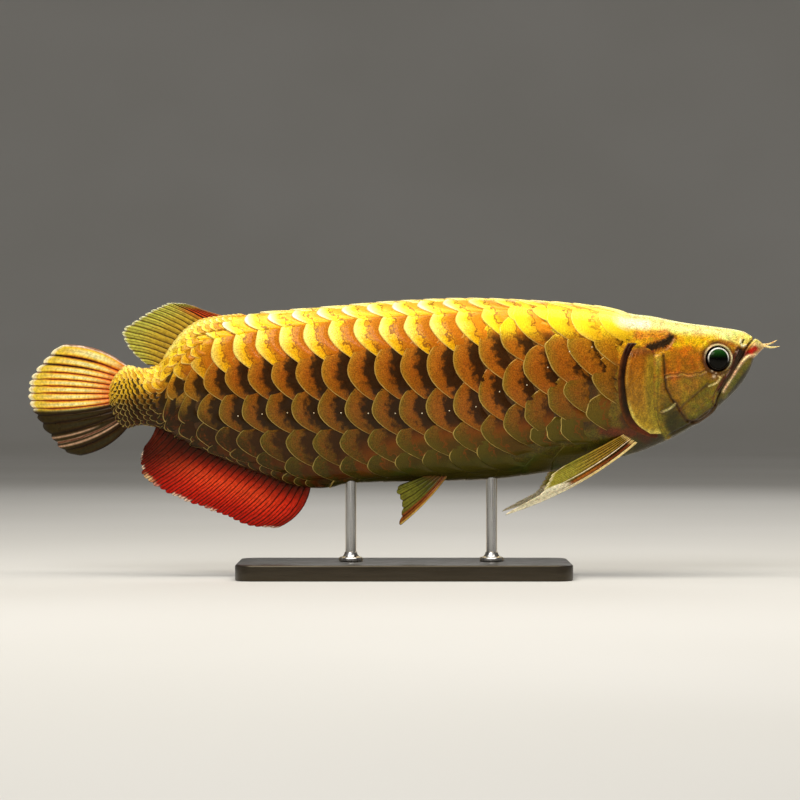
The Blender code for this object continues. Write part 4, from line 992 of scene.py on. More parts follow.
cover_recipe = Recipe("gill_cover_gold", Coat_Weight=0.2, Coat_Roughness=0.12, Metallic=0.2,
                      Specular_IOR_Level=0.35)
cover_worn = cover_recipe.spread(cover_recipe.noise(300, 5, (1.0, 1.0, 0.6)), 0.3, 0.7, 0.68, 1.24)
cover_grain = cover_recipe.spread(cover_recipe.noise(1000, 3), 0.35, 0.65, 0.66, 1.2)
cover_colour = cover_recipe.blend(1.0, cover_recipe.paint(), cover_recipe.maths("MULTIPLY", cover_worn, cover_grain),
                                  "MULTIPLY")
cover_shape = cover_recipe.bump(cover_recipe.noise(420, 5), 0.0004, 0.5)
cover_shine = cover_recipe.spread(cover_recipe.noise(220, 4), 0.3, 0.7, 0.24, 0.42)
gill_cover_gold = cover_recipe.finish(cover_colour, cover_shine, cover_shape)
for side_name, side in SIDES.items():
    cover = bent_sheet("gill_cover_plate_" + side_name, 64, 130, functools.partial(gill_cover_place, side=side))
    u, v = values_of(cover, "u"), values_of(cover, "v")
    cover_x, _, cover_z = places_of(cover)
    down = mix(shades((160, 82, 12)), shades((172, 116, 22)), ease((v - 0.1) / 0.5))
    down = mix(down, shades((198, 158, 34)), ease((v - 0.6) / 0.3))
    down = mix(down, shades((168, 146, 36)), 0.8 * ease((u - 0.5) / 0.3))
    away_mm = u * (through(GILL_COVER_FRONT, v) - through(GILL_COVER_REAR, v))
    lower_rim = wave(away_mm - 1.0, 1.5) * ease((v - 0.55) / 0.25) + wave((1 - v) * 67.5 - 1.5, 2.2)
    down = mix(down, shades((255, 232, 110)), 0.85 * np.clip(lower_rim, 0, 1))
    down = mix(down, shades((190, 150, 60)), 0.5 * wave(away_mm - 1.6, 0.8) * ease((0.6 - v) / 0.2))
    down = mix(down, shades((50, 16, 8)), 0.85 * ease((0.9 - away_mm) / 0.8) * ease((0.8 - v) / 0.2))
    down = mix(down, painted(cover_x, cover_z), np.maximum(ease((0.2 - v) / 0.12), 0.25))
    tint(cover, down)
    dress(cover, gill_cover_gold, "gill_cover", "gill_cover_" + side_name)

# %% [markdown]
# The soft, dark skin that lines the gill slit shows as a band behind and below the cover. Its near-black paint is
# partly that skin's own colour and partly painted shade under the cover's edge. It lies over the roots of the last
# scales, as on the fish.

# %% The dark band behind the gill cover
GILL_BAND_REAR = (
    (0.0, 167.0), (0.08, 163.8), (0.2, 160.8), (0.4, 159.2), (0.6, 160.2), (0.76, 163.0), (0.88, 168.2),
    (0.95, 177.0), (1.0, 190.0),
)
GILL_BAND_TOP_Z, GILL_BAND_BOTTOM_Z = 176.5, 104.5


def gill_band_place(u, v, side):
    rear = through(GILL_BAND_REAR, v)
    z = GILL_BAND_TOP_Z + (GILL_BAND_BOTTOM_Z - GILL_BAND_TOP_Z) * v
    share = (GILL_COVER_TOP_Z - z) / (GILL_COVER_TOP_Z - GILL_COVER_BOTTOM_Z)
    front = np.maximum(through(GILL_COVER_REAR, share) + 5.0 * ease((share - 0.04) / 0.14), rear + 2.0)
    x = rear + (front - rear) * u
    away = np.minimum((x - rear), 0.9 * np.minimum(v, 1 - v) * 74.0)
    edge = np.sqrt(np.clip(1 - (1 - np.clip(away / 1.6, 0, 1)) ** 2, 0, 1))
    folds = 0.12 * np.sin((x - rear) * 1.9 + 0.4 * np.sin(z * 0.3))
    return on_side(x, z, -0.5 + (1.0 + folds) * edge - 0.02 * (x - rear), side)


band_recipe = Recipe("gill_band_maroon", Coat_Weight=0.1, Coat_Roughness=0.25, Specular_IOR_Level=0.2)
band_worn = band_recipe.spread(band_recipe.noise(300, 4), 0.3, 0.7, 0.6, 1.4)
band_colour = band_recipe.blend(1.0, band_recipe.paint(), band_worn, "MULTIPLY")
band_shape = band_recipe.bump(band_recipe.noise(500, 4), 0.0004, 0.5)
gill_band_maroon = band_recipe.finish(band_colour, band_recipe.spread(band_worn, 0.6, 1.4, 0.3, 0.45), band_shape)
for side_name, side in SIDES.items():
    band = bent_sheet("gill_band_" + side_name, 20, 110, functools.partial(gill_band_place, side=side))
    u, v = values_of(band, "u"), values_of(band, "v")
    # Near black, partly the skin's own colour and partly painted shade under the cover's edge.
    down = mix(shades((34, 6, 4)), shades((26, 8, 3)), ease(v / 0.6))
    down = mix(down, shades((96, 34, 14)), 0.7 * ease((v - 0.7) / 0.2))
    down = mix(down, shades((98, 50, 14)), 0.85 * ease((0.34 - u) / 0.34))
    tint(band, down)
    dress(band, gill_band_maroon, "skin", "trunk")

# %% [markdown]
# ## The eyes
# A fish's lens stands out through its pupil like a bead, inside a ring of silver and gold. One profile turned
# about the line of sight gives ring and bead together, and a clear coat stands for the wet front of the eye.

# %% Iris and lens
EYE_PROFILE = (
    (0.0, 4.9), (1.8, 4.83), (3.4, 4.62), (4.9, 4.25), (5.9, 3.85), (6.7, 3.4), (7.1, 3.1), (7.35, 3.2),
    (7.7, 3.3), (8.05, 3.1), (8.4, 2.6), (8.75, 2.0), (9.05, 1.2), (9.2, 0.1), (9.1, -1.0),
)
PUPIL_RADIUS = 7.2


def turned(name, profile, steps, centre, axis):
    """A profile of (radius, height) in millimetres, spun about an axis."""
    across = unit(np.cross(axis, (0.0, 1.0, 0.0) if abs(axis[2]) > 0.9 else (0.0, 0.0, 1.0)))
    bm = bmesh.new()
    line = [bm.verts.new((centre + across * r + axis * h) * MM) for r, h in profile]
    edges = [bm.edges.new(pair) for pair in zip(line, line[1:])]
    bmesh.ops.spin(bm, geom=line + edges, cent=centre * MM, axis=axis, angle=2 * math.pi, steps=steps,
                   use_merge=True)
    bmesh.ops.remove_doubles(bm, verts=bm.verts, dist=0.01 * MM)
    bmesh.ops.recalc_face_normals(bm, faces=bm.faces)
    return to_object(name, bm)


eye_recipe = Recipe("eye_wet", Coat_Weight=0.16, Coat_Roughness=0.04, Roughness=0.3, Specular_IOR_Level=0.05)
ring, height = eye_recipe.value("Ring"), eye_recipe.value("Height")
flow = eye_recipe.spread(eye_recipe.noise(700, 4), 0.3, 0.7, 0.72, 1.12)
# The ring is painted silver-white on top and near black below, as painted light from above and painted shade beneath.
# The lens is green towards the top, partly its own tint and partly painted sheen.
silver = eye_recipe.blend(eye_recipe.spread(height, -3.5, 4.0), plain(14, 10, 5), plain(255, 252, 240))
silver = eye_recipe.blend(eye_recipe.spread(ring, 8.1, 8.4), silver, plain(14, 5, 4))
silver = eye_recipe.blend(1.0, silver, flow, "MULTIPLY")
lens = eye_recipe.blend(eye_recipe.spread(height, 0.0, 7.0), plain(2, 3, 2), plain(20, 66, 16))
eye_colour = eye_recipe.blend(eye_recipe.spread(ring, PUPIL_RADIUS - 0.1, PUPIL_RADIUS + 0.35), lens, silver)
eye_bump = eye_recipe.bump(eye_recipe.noise(900, 3), 0.0001, 0.3)
eye_wet = eye_recipe.finish(eye_colour, None, eye_bump)
eye_centre, eye_out = eye_frame()
for side_name, side in SIDES.items():
    flip = np.array((1.0, -side, 1.0))
    eye = turned("eyeball_" + side_name, EYE_PROFILE, 72, eye_centre * flip, eye_out * flip)
    away, turn = from_eye(np.stack(places_of(eye), axis=-1))
    keep_values(eye, "Ring", away)
    keep_values(eye, "Height", away * np.sin(turn))
    dress(eye, eye_wet, "eye", "eye_" + side_name)

# %% [markdown]
# ## The barbels
# Two feelers grow from the tip of the lower jaw. Each is a soft cone that sags a little, with faint rings.

# %% Two feelers
BARBEL_ROOT = (268.5, 2.4, 175.2)
BARBEL_TIPS = {"right": (282.6, 4.2, 173.9), "left": (281.6, 3.4, 178.9)}
BARBEL_RADIUS, BARBEL_SAG = 1.05, 1.4


def barbel_place(u, v, side_name):
    side = SIDES[side_name]
    root = np.array((BARBEL_ROOT[0], side * BARBEL_ROOT[1], BARBEL_ROOT[2]))
    tip = np.array(BARBEL_TIPS[side_name]) * (1, side, 1)
    v = v[:, None]
    centre = root + (tip - root) * v
    centre[:, 2] -= BARBEL_SAG * np.sin(np.pi * v[:, 0])
    ahead = unit(tip - root)
    aside = unit(np.cross(ahead, (0.0, 0.0, 1.0)))
    over = np.cross(aside, ahead)
    radius = BARBEL_RADIUS * (1 - 0.62 * v) * np.sqrt(np.clip(1 - v ** 8, 0, 1)) * (1 + 0.05 * np.sin(v * 88))
    turn = 2 * np.pi * u[:, None]
    return centre + radius * (np.cos(turn) * aside + np.sin(turn) * over)


barbel_recipe = Recipe("barbel_cream", Roughness=0.4, Coat_Weight=0.3, Subsurface_Weight=0.15)
barbel_recipe.shader.inputs["Subsurface Scale"].default_value = 0.002
freckle = barbel_recipe.spread(barbel_recipe.noise(900, 3), 0.4, 0.7)
cream = barbel_recipe.blend(freckle, plain(246, 222, 150), plain(206, 150, 80))
barbel_cream = barbel_recipe.finish(cream, None, barbel_recipe.bump(barbel_recipe.noise(1500, 2), 0.0002, 0.4))
for side_name in SIDES:
    barbel = bent_sheet("feeler_" + side_name, 20, 60, functools.partial(barbel_place, side_name=side_name), 0.005)
    dress(barbel, barbel_cream, "barbel", "barbel_" + side_name)

# %% [markdown]
# ## The fins
# A fin is a skin stretched over bony rays, which fork on their way to the edge. One closed sheet goes out over
# the right face and back over the left one. Its thickness swells along each ray and is thin in between, and its
# free edge is nicked between the rays. The paint reads which ray it is on and how far out it is.


# %% From a line of rays to a fin
def fin_normals(spine, t, s):
    """The way across the fin at each of its points."""
    t_low, t_high = np.clip(t - 0.004, 0, 1), np.clip(t + 0.004, 0, 1)
    s_low, s_high = np.clip(s - 0.01, 0, 1), np.clip(s + 0.01, 0, 1)
    down = spine(t_high, s) - spine(t_low, s)
    out = spine(t, s_high) - spine(t, s_low)
    return unit(np.cross(down, out))


def ray_swell(phase, s, fork_at):
    """1 on the top of a ray and 0 between two, with each ray forked beyond a share of its length."""
    whole = np.abs(np.sin(np.pi * phase)) ** 0.9
    forked = np.abs(np.sin(2 * np.pi * phase)) ** 0.9
    return whole + (forked - whole) * ease((s - fork_at) / 0.25)


def make_fin(name, spine, phases, thick, thin, columns, rows, nick=0.03, fork_at=0.45, side=-1):
    """A fin as a closed sheet. phases gives the number of the ray at t; thick and thin are half thicknesses."""
    count = int(phases[-1][1])
    uneven = np.random.default_rng(count).uniform(-1, 1, count + 2)

    def place(u, v):
        face = np.where(u < 0.5, 1.0, -1.0)
        t = np.clip(np.where(u < 0.5, 2 * u, 2 * (1 - u)), 0, 1)
        phase = through(phases, t)
        ray = np.clip(np.floor(phase), 0, count).astype(int)
        edge = 1 - nick * (1 - np.abs(np.sin(np.pi * phase))) + 0.012 * uneven[ray] * (nick > 0)
        s = v * edge
        swell = ray_swell(phase, s, fork_at)
        half = (thin + (thick * (1 - 0.72 * s) - thin) * swell) * (1 - 0.25 * s)
        half = half * np.sqrt(np.clip(1 - v ** 24, 0, 1)) * np.sqrt(np.clip(np.minimum(t, 1 - t) / 0.008, 0, 1))
        across = fin_normals(spine, t, s)
        return spine(t, s) + across * (half * face)[:, None]

    fin = bent_sheet(name, columns, rows, place, 0.012)
    u, v = values_of(fin, "u"), values_of(fin, "v")
    t = np.clip(np.where(u < 0.5, 2 * u, 2 * (1 - u)), 0, 1)
    keep_values(fin, "Ray", through(phases, t))
    keep_values(fin, "Out", v)
    return fin, t, v


def flat_spine(root, margin, bow):
    """Points of an upright fin, from (x, z) lines of its root and margin and the bow of its rays."""

    def spine(t, s):
        root_x, root_z = root(t)
        edge_x, edge_z = pick(margin, t)
        length = np.hypot(edge_x - root_x, edge_z - root_z)
        lean = 4 * through(bow, t) * s * (1 - s) / length
        x = root_x + (edge_x - root_x) * s + (edge_z - root_z) * lean
        z = root_z + (edge_z - root_z) * s - (edge_x - root_x) * lean
        return np.stack((x, 0 * x, z), axis=-1)

    return spine


def fin_finish(name, slit, forks=1.0, tips=1.0, shine=0.32):
    """Painted fin skin with dark lines between the rays, forked lines further out and jointed rays."""
    recipe = Recipe(name, Coat_Weight=0.07, Coat_Roughness=0.15, Subsurface_Weight=0.08, Specular_IOR_Level=0.16)
    recipe.shader.inputs["Subsurface Scale"].default_value = 0.0015
    ray, out = recipe.value("Ray"), recipe.value("Out")
    wander = recipe.spread(recipe.noise(90, 3), 0.3, 0.7, -0.05, 0.05)
    part = recipe.maths("FRACT", recipe.maths("ADD", ray, wander))
    off = recipe.maths("MULTIPLY", recipe.maths("ABSOLUTE", recipe.maths("SUBTRACT", part, 0.5)), 2.0)
    gap = recipe.spread(off, 0.72, 0.94)
    fork = recipe.maths("MULTIPLY", recipe.spread(off, 0.16, 0.03), recipe.spread(out, 0.3, 0.55))
    fine = recipe.maths("MULTIPLY", recipe.spread(recipe.maths("PINGPONG", off, 0.25), 0.2, 0.235),
                        recipe.spread(out, 0.55, 0.8, 0.0, 0.7))
    lines = recipe.maths("MAXIMUM", gap, recipe.maths("MULTIPLY", recipe.maths("MAXIMUM", fork, fine), forks))
    lines = recipe.maths("MULTIPLY", lines, recipe.spread(out, 0.45, 0.75, 1.0, tips))
    joints = recipe.maths("SINE", recipe.maths("MULTIPLY", out, 190.0))
    mottle = recipe.spread(recipe.noise(420, 4), 0.3, 0.7, 0.76, 1.16)
    colour = recipe.blend(1.0, recipe.paint(), mottle, "MULTIPLY")
    colour = recipe.blend(recipe.spread(joints, 0.3, 1.0, 0.0, 0.1), colour, plain(40, 14, 8))
    colour = recipe.blend(recipe.maths("MULTIPLY", lines, 0.9), colour, recipe.blend(1.0, colour, slit, "MULTIPLY"))
    shape = recipe.bump(recipe.maths("MULTIPLY", lines, -1.0), 0.0003, 0.6)
    shape = recipe.bump(joints, 0.00006, 0.4, after=shape)
    shape = recipe.bump(recipe.noise(700, 4), 0.0003, 0.35, after=shape)
    gloss = recipe.spread(recipe.noise(200, 3), 0.3, 0.7, shine - 0.06, shine + 0.12)
    return recipe.finish(colour, gloss, shape)


# %% The dorsal fin
DORSAL_ROOT_X = (
    (0.0, -121.0), (0.15, -132.5), (0.35, -147.8), (0.5, -159.0), (0.65, -167.3), (0.75, -172.5), (0.85, -177.0),
    (1.0, -183.5),
)
DORSAL_MARGIN = (
    (0.0, -160.0, 205.0), (0.15, -168.5, 206.8), (0.3, -175.5, 206.8), (0.45, -186.0, 203.0), (0.55, -193.5, 198.8),
    (0.65, -203.0, 193.0), (0.75, -212.3, 184.8), (0.85, -209.0, 175.0), (0.93, -202.0, 166.8), (1.0, -193.5, 159.8),
)
DORSAL_BOW = ((0.0, -1.4), (0.3, 0.8), (1.0, 1.5))
ROOT_SUNK = 3.0


def dorsal_root(t):
    x = through(DORSAL_ROOT_X, t)
    return x, through(BACK_LINE, x) - ROOT_SUNK


dorsal, t, s = make_fin("dorsal_fin_rays", flat_spine(dorsal_root, DORSAL_MARGIN, DORSAL_BOW),
                        ((0.0, 0.0), (1.0, 19.0)), 0.85, 0.28, 456, 64, nick=0.045)
paint = mix(shades((192, 156, 44)), shades((206, 200, 78)), ease((s - 0.3) / 0.6))
ray = through(((0.0, 0.0), (1.0, 19.0)), t) % 1.0
paint = mix(paint, shades((112, 84, 22)), ease((ray - 0.45) / 0.5) * 0.6)
paint = mix(paint, shades((150, 110, 34)), ease((0.35 - s) / 0.35) * 0.7)
paint = mix(paint, shades((204, 62, 10)), ease((0.42 - t) / 0.16) * ease((0.95 - s) / 0.4))
paint = mix(paint, shades((24, 8, 4)), ease((0.36 - t) / 0.06) * ease((ray - 0.4) / 0.3))
paint = mix(paint, shades((240, 150, 50)), ease((0.12 - t) / 0.08) * 0.7)
paint = mix(paint, shades((250, 246, 206)), np.maximum(ease((s - 0.93) / 0.06), ease((0.012 - t) / 0.01)) * 0.85)
tint(dorsal, paint)
dress(dorsal, fin_finish("dorsal_skin", plain(84, 64, 40)), "dorsal_fin", "dorsal_fin")

# %% The anal fin
ANAL_ROOT_X = ((0.0, -69.8), (0.2, -93.0), (0.4, -116.3), (0.6, -140.3), (0.8, -164.3), (1.0, -186.0))
ANAL_MARGIN = (
    (0.0, -95.3, 37.1), (0.1, -112.5, 37.9), (0.2, -126.8, 43.1), (0.4, -150.8, 52.5), (0.6, -177.0, 63.0),
    (0.8, -197.3, 78.8), (0.9, -198.4, 88.5), (1.0, -195.8, 98.3),
)
ANAL_BOW = ((0.0, -6.0), (0.3, -1.5), (1.0, -1.5))


def anal_root(t):
    x = through(ANAL_ROOT_X, t)
    return x, through(BELLY_LINE, x) + ROOT_SUNK


anal, t, s = make_fin("anal_fin_rays", flat_spine(anal_root, ANAL_MARGIN, ANAL_BOW),
                      ((0.0, 0.0), (1.0, 27.0)), 0.9, 0.3, 648, 64, nick=0.03)
paint = mix(shades((224, 40, 18)), shades((186, 10, 5)), ease((s - 0.55) / 0.45))
paint = mix(paint, shades((236, 78, 34)), 0.6 * wave(s - 0.45, 0.18) * ease((t - 0.05) / 0.2))
paint = mix(paint, shades((40, 3, 2)), ease((0.46 - s) / 0.4) * 0.95)
paint = mix(paint, shades((44, 3, 2)), ease((t - 0.5) / 0.36 + (0.5 - s) * 0.6) * 0.93)
paint = mix(paint, shades((120, 18, 12)), ease((0.07 - t) / 0.07) * 0.7)
glints = np.random.default_rng(5).uniform(0, 1, 29)[np.clip((t * 27).astype(int), 0, 28)]
paint = mix(paint, shades((255, 226, 196)), ease((s - 0.93) / 0.05) * ease((glints - 0.55) / 0.3) * 0.8)
paint = mix(paint, shades((255, 214, 150)), ease((s - 0.9) / 0.06) * wave(t - 0.745, 0.03))
tint(anal, paint)
dress(anal, fin_finish("anal_skin", plain(64, 20, 20)), "anal_fin", "anal_fin")

# %% The tail fin
TAIL_FIN_ROOT = (
    (0.0, -207.8, 158.0), (0.15, -215.0, 153.0), (0.3, -219.5, 146.5), (0.5, -222.0, 137.3), (0.7, -219.8, 128.0),
    (0.85, -216.0, 120.5), (1.0, -209.0, 114.0),
)
TAIL_FIN_MARGIN = (
    (0.0, -258.0, 175.1), (0.1, -267.8, 167.3), (0.25, -277.5, 155.3), (0.4, -282.4, 144.8), (0.5, -282.75, 137.3),
    (0.6, -281.3, 129.0), (0.72, -276.0, 119.3), (0.85, -265.5, 103.5), (0.95, -256.0, 94.5), (1.0, -246.0, 91.2),
)
TAIL_FIN_BOW = ((0.0, 6.2), (0.12, 3.2), (0.3, 2.2), (0.5, 0.0), (0.62, -2.0), (0.8, -2.6), (1.0, -5.2))
TAIL_FIN_CURL = 9.0
TAIL_FIN_RAYS = ((0.0, 0.0), (0.1, 1.0), (0.62, 8.0), (1.0, 14.0))


def tail_root(t):
    x, z = pick(TAIL_FIN_ROOT, t)
    return x + 4.0, z + (136.0 - z) * 0.12


def tail_spine(t, s):
    points = flat_spine(tail_root, TAIL_FIN_MARGIN, TAIL_FIN_BOW)(t, s)
    points[..., 1] = TAIL_FIN_CURL * s ** 2 * ease((t - 0.5) / 0.5)
    return points


tail_fin, t, s = make_fin("tail_fin_rays", tail_spine, TAIL_FIN_RAYS, 1.1, 0.35, 392, 72, nick=0.035, fork_at=0.6)
bundle = np.abs(through(TAIL_FIN_RAYS, t) % 1.0 - 0.5) * 2
paint = mix(shades((236, 110, 14)), shades((255, 206, 60)), ease((s - 0.02) / 0.4))
paint = mix(paint, shades((255, 244, 170)), 0.9 * ease((0.55 - bundle) / 0.4) * wave(s - 0.5, 0.32))
paint = mix(paint, shades((206, 64, 8)), ease((bundle - 0.5) / 0.3) * 0.85 * ease((1.05 - s) / 0.3))
paint = mix(paint, shades((232, 200, 60)), ease((s - 0.74) / 0.2) * 0.7)
paint = mix(paint, shades((16, 6, 3)), 0.97 * np.maximum(wave(t - 0.1, 0.011), wave(t - 0.185, 0.012)) * ease((s - 0.3) / 0.2))
paint = mix(paint, shades((255, 248, 220)), np.maximum(ease((s - 0.93) / 0.05) * 0.7, ease((0.022 - t) / 0.016) * 0.9))
# The fin's lower third is painted near black, partly its own dark colour and partly painted shade.
paint = mix(paint, shades((12, 5, 2)), ease((t - 0.615) / 0.05) * 0.98)
pale_rays = wave(t - 0.875, 0.006) + wave(t - 0.905, 0.006) + 0.8 * wave(t - 0.84, 0.005) * ease((s - 0.3) / 0.2)
paint = mix(paint, shades((222, 176, 140)), 0.9 * pale_rays)
tint(tail_fin, paint)
dress(tail_fin, fin_finish("tail_skin", plain(120, 60, 30), 0.25), "tail_fin", "tail_fin")

# %% The pectoral fins
PECTORAL_ROOT = ((0.0, 174.8, 101.3), (1.0, 163.5, 107.6))
PECTORAL_MARGIN = (
    (0.0, 72.0, 47.3), (0.2, 84.0, 54.2), (0.35, 94.5, 59.4), (0.5, 102.0, 64.6), (0.7, 106.5, 71.3),
    (0.85, 108.8, 76.9), (1.0, 117.0, 83.3),
)
PECTORAL_BOW = ((0.0, -6.0), (1.0, 0.0))
PECTORAL_SPREAD = 30.0
PECTORAL_RAYS = ((0.0, 0.0), (0.2, 1.0), (0.42, 2.0), (0.54, 3.0), (1.0, 8.0))


def pectoral_spine(t, s, side):
    points = flat_spine(lambda place: pick(PECTORAL_ROOT, place), PECTORAL_MARGIN, PECTORAL_BOW)(t, s)
    root_x, root_z = pick(PECTORAL_ROOT, t)
    root_y = np.abs(on_side(root_x, root_z)[..., 1]) - 1.0
    points[..., 1] = side * (root_y + PECTORAL_SPREAD * (1 - 0.45 * t) * s ** 0.9)
    return points


for side_name, side in SIDES.items():
    pectoral, t, s = make_fin("pectoral_rays_" + side_name, functools.partial(pectoral_spine, side=side),
                              PECTORAL_RAYS, 1.5, 0.3, 240, 84, nick=0.02, fork_at=0.55)
    ray = through(PECTORAL_RAYS, t)
    paint = mix(shades((146, 112, 30)), shades((150, 140, 44)), ease((s - 0.3) / 0.5))
    paint = mix(paint, shades((150, 62, 12)), ease((2.0 - ray) / 0.3))
    paint = mix(paint, shades((26, 8, 4)), wave(ray - 1.95, 0.5) * 0.97)
    paint = mix(paint, shades((255, 236, 206)), wave(ray - 2.7, 0.12) * 0.85)
    paint = mix(paint, shades((226, 132, 40)), ease((2.4 - ray) / 0.6) * wave(s - 0.5, 0.16) * 0.6)
    paint = mix(paint, shades((255, 226, 150)), ease((1.05 - ray) / 0.3))
    paint = mix(paint, shades((255, 244, 206)), ease((1.05 - ray + 2.4 * ease((s - 0.45) / 0.5)) / 0.5) * ease((s - 0.35) / 0.3))
    paint = mix(paint, shades((255, 236, 190)), ease((s - 0.94) / 0.05) * 0.5)
    paint = mix(paint, shades((240, 206, 130)), ease((0.06 - s) / 0.05) * 0.8)
    tint(pectoral, paint)
    if side_name == "right":
        pectoral_skin = fin_finish("pectoral_skin", plain(112, 80, 50), 0.5, 0.3)
    dress(pectoral, pectoral_skin, "paired_fin", "pectoral_fin_" + side_name)

# %% The pelvic fins
PELVIC_ROOT_X = ((0.0, 33.8), (1.0, 18.0))
PELVIC_MARGIN = (
    (0.0, -4.5, 38.3), (0.2, -2.3, 45.8), (0.4, -1.5, 53.3), (0.6, -3.0, 60.0), (0.8, -5.3, 65.3), (1.0, -3.8, 69.0),
)
PELVIC_BOW = ((0.0, -2.0), (1.0, 0.0))
PELVIC_ROOT_Y, PELVIC_SPREAD = 6.0, 10.0
PELVIC_RAYS = ((0.0, 0.0), (0.18, 1.0), (1.0, 6.0))


def pelvic_root(t):
    x = through(PELVIC_ROOT_X, t)
    _, bottom, half, level, _, lower = section(x)
    return x, level - (level - bottom) * (1 - (PELVIC_ROOT_Y / half) ** lower) ** (1 / lower) + 1.5


def pelvic_spine(t, s, side):
    points = flat_spine(pelvic_root, PELVIC_MARGIN, PELVIC_BOW)(t, s)
    points[..., 1] = side * (PELVIC_ROOT_Y + PELVIC_SPREAD * s)
    return points


for side_name, side in SIDES.items():
    pelvic, t, s = make_fin("pelvic_rays_" + side_name, functools.partial(pelvic_spine, side=side),
                            PELVIC_RAYS, 1.0, 0.25, 168, 48, nick=0.05)
    ray = through(PELVIC_RAYS, t)
    paint = mix(shades((70, 70, 16)), shades((112, 110, 34)), ease((s - 0.3) / 0.5))
    paint = mix(paint, shades((150, 84, 26)), ease((1.6 - ray) / 0.4))
    paint = mix(paint, shades((220, 178, 84)), ease((0.5 - ray) / 0.3))
    paint = mix(paint, shades((120, 40, 16)), wave(ray - 1.1, 0.25) * 0.8)
    paint = mix(paint, shades((92, 44, 22)), ease((0.3 - s) / 0.2) * 0.6)
    tint(pelvic, paint)
    if side_name == "right":
        pelvic_skin = fin_finish("pelvic_skin", plain(112, 90, 60), 0.6)
    dress(pelvic, pelvic_skin, "paired_fin", "pelvic_fin_" + side_name)

# %% [markdown]
# ## The stand
# A museum mount is kept plain: a lacquered base with eased edges and two turned steel rods, each with a small
# collar where it leaves the base.

# %% Base and rods
BASE_LONG, BASE_WIDE, BASE_HIGH, BASE_CORNER, BASE_EDGE = 250.0, 116.0, 12.0, 14.0, 1.5
ROD_RADIUS, ROD_SUNK = 4.0, 5.5
ROD_PLACES = {"front": 66.0, "rear": -40.0}


def make_base():
    bm = bmesh.new()
    bmesh.ops.create_cube(bm, size=1.0)
    bmesh.ops.scale(bm, vec=(BASE_LONG * MM, BASE_WIDE * MM, BASE_HIGH * MM), verts=bm.verts)
    bmesh.ops.translate(bm, vec=(0, 0, BASE_HIGH * MM / 2), verts=bm.verts)
    upright = [e for e in bm.edges if abs(e.verts[0].co.z - e.verts[1].co.z) > 0.001]
    bmesh.ops.bevel(bm, geom=upright, offset=BASE_CORNER * MM, segments=12, profile=0.5, affect="EDGES", material=-1)
    rims = [e for e in bm.edges if len({round(f.normal.z) for f in e.link_faces}) == 2]
    bmesh.ops.bevel(bm, geom=rims, offset=BASE_EDGE * MM, segments=4, profile=0.5, affect="EDGES", material=-1)
    return to_object("stand_plinth", bm)


base = make_base()
base.data.set_sharp_from_angle(angle=math.radians(40))
lacquer = Recipe("satin_black_lacquer", Coat_Weight=0.3, Coat_Roughness=0.25)
grain_lines = lacquer.noise(30, 5, (1.0, 14.0, 14.0))
black = lacquer.blend(lacquer.spread(grain_lines, 0.3, 0.7), plain(22, 20, 20), plain(34, 31, 29))
gloss = lacquer.spread(lacquer.noise(60, 4), 0.3, 0.7, 0.34, 0.46)
dress(base, lacquer.finish(black, gloss, lacquer.bump(grain_lines, 0.0002, 0.3)), "stand_base", "stand_base")

steel = Recipe("brushed_steel", Metallic=1.0)
brushed = steel.noise(900, 3, (1.0, 1.0, 0.02))
silver_grey = steel.blend(steel.spread(brushed, 0.3, 0.7), plain(176, 176, 178), plain(206, 205, 202))
gloss = steel.spread(brushed, 0.3, 0.7, 0.22, 0.36)
brushed_steel = steel.finish(silver_grey, gloss, steel.bump(brushed, 0.00004, 0.4))
for rod_name, rod_x in ROD_PLACES.items():
    rod_top = float(through(BELLY_LINE, rod_x)) + ROD_SUNK
    rod_profile = (
        (0.0, 12.3), (8.6, 12.3), (9.0, 12.7), (9.0, 14.4), (8.4, 15.2), (6.2, 15.8), (5.0, 17.4), (4.6, 19.0),
        (ROD_RADIUS, 19.4), (ROD_RADIUS, rod_top - 0.6), (ROD_RADIUS - 0.6, rod_top), (0.0, rod_top),
    )
    rod = turned("stand_post_" + rod_name, rod_profile, 48, np.array((rod_x, 0.0, 0.0)), np.array((0.0, 0.0, 1.0)))
    rod.data.set_sharp_from_angle(angle=math.radians(35))
    dress(rod, brushed_steel, "stand_rod", "stand_rod_" + rod_name)

# %% [markdown]
# ## The stage
# A plain pale floor sweeps up all round into a bowl, so that the fish can be looked at from every side with no
# edge in sight. A broad light overhead makes the back glow, and softer ones fill the sides.


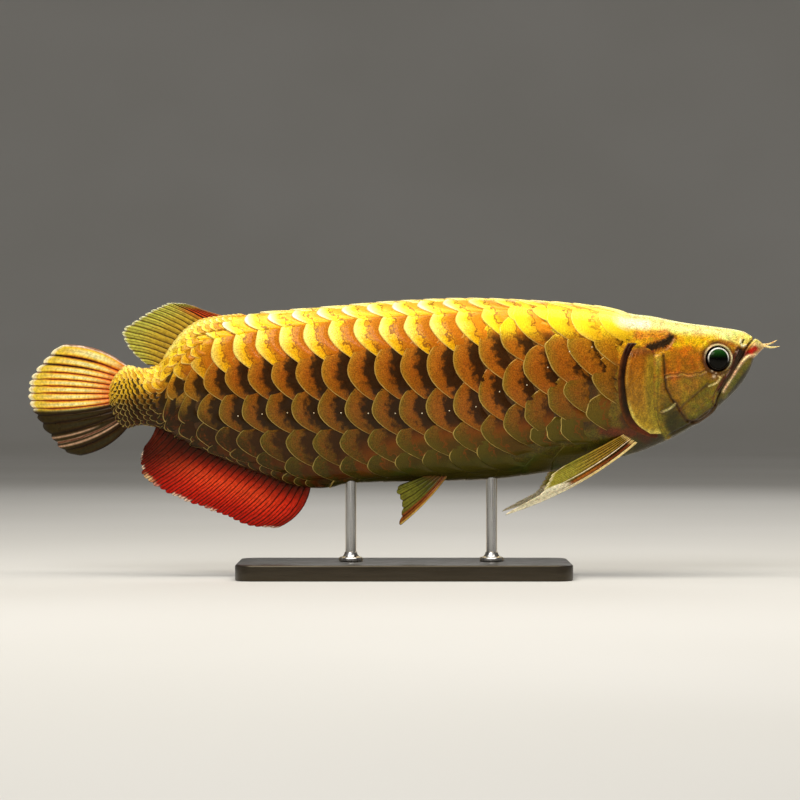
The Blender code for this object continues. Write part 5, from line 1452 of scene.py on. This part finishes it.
# %% Floor, lights and camera
def make_stage():
    bm = bmesh.new()
    reach, rise_from, sweep = 9.0, 6.0, 3.0
    profile = [(0.0, 0.0), (rise_from, 0.0)]
    for i in range(1, 13):
        a = math.pi / 2 * i / 12
        profile.append((rise_from + sweep * math.sin(a), sweep * (1 - math.cos(a))))
    profile.append((reach, 6.0))
    corners = [bm.verts.new((r, 0.0, h)) for r, h in profile]
    line = [bm.edges.new(pair) for pair in zip(corners, corners[1:])]
    bmesh.ops.spin(bm, geom=corners + line, cent=(0, 0, 0), axis=(0, 0, 1), angle=2 * math.pi, steps=96,
                   use_merge=True)
    bmesh.ops.remove_doubles(bm, verts=bm.verts, dist=0.0005)
    bmesh.ops.recalc_face_normals(bm, faces=bm.faces)
    bmesh.ops.reverse_faces(bm, faces=bm.faces)
    floor = to_object("stage_floor", bm)
    recipe = Recipe("stage_paper", Roughness=0.85)
    warmth = recipe.spread(recipe.noise(1.2, 2), 0.3, 0.7)
    floor.data.materials.append(recipe.finish(recipe.blend(warmth, plain(206, 204, 199), plain(212, 210, 206))))


def soft_light(name, place, size, watts, colour=(1.0, 1.0, 1.0)):
    """A rectangular light that faces the fish."""
    light = bpy.data.lights.new(name, "AREA")
    light.shape = "RECTANGLE"
    light.size, light.size_y = size
    light.energy = watts
    light.color = colour
    lamp = bpy.data.objects.new(name, light)
    bpy.context.scene.collection.objects.link(lamp)
    lamp.location = place
    aim = bpy.data.objects["skin"].location.copy()
    aim.z = 0.13
    lamp.rotation_euler = (aim - lamp.location).to_track_quat("-Z", "Y").to_euler()


make_stage()
soft_light("light_overhead", (0.05, -0.35, 1.5), (1.8, 0.8), 24.0, (1.0, 0.97, 0.9))
soft_light("light_front", (-0.6, -1.9, 1.7), (1.4, 0.9), 30.0)
soft_light("light_behind", (0.4, 1.9, 1.3), (1.6, 0.8), 9.0)
world = bpy.data.worlds.new("studio_air")
world.use_nodes = True
world.node_tree.nodes["Background"].inputs["Color"].default_value = (1.0, 0.99, 0.97, 1.0)
world.node_tree.nodes["Background"].inputs["Strength"].default_value = 0.24
bpy.context.scene.world = world
bpy.context.scene.view_settings.view_transform = "Standard"

# %% [markdown]
# The photograph looks straight at the fish's right side, level with the middle of the picture.

# %% The camera
VIEW_CENTRE = (-0.003, 0.1335)
VIEW_WIDTH = 0.6024
VIEW_DISTANCE = 2.4
SENSOR = 36.0
camera = bpy.data.objects.new("camera", bpy.data.cameras.new("camera"))
camera.data.sensor_width = SENSOR
camera.data.lens = SENSOR * VIEW_DISTANCE / VIEW_WIDTH
camera.location = (VIEW_CENTRE[0], -VIEW_DISTANCE, VIEW_CENTRE[1])
camera.rotation_euler = (math.pi / 2, 0.0, 0.0)
bpy.context.scene.collection.objects.link(camera)
bpy.context.scene.camera = camera
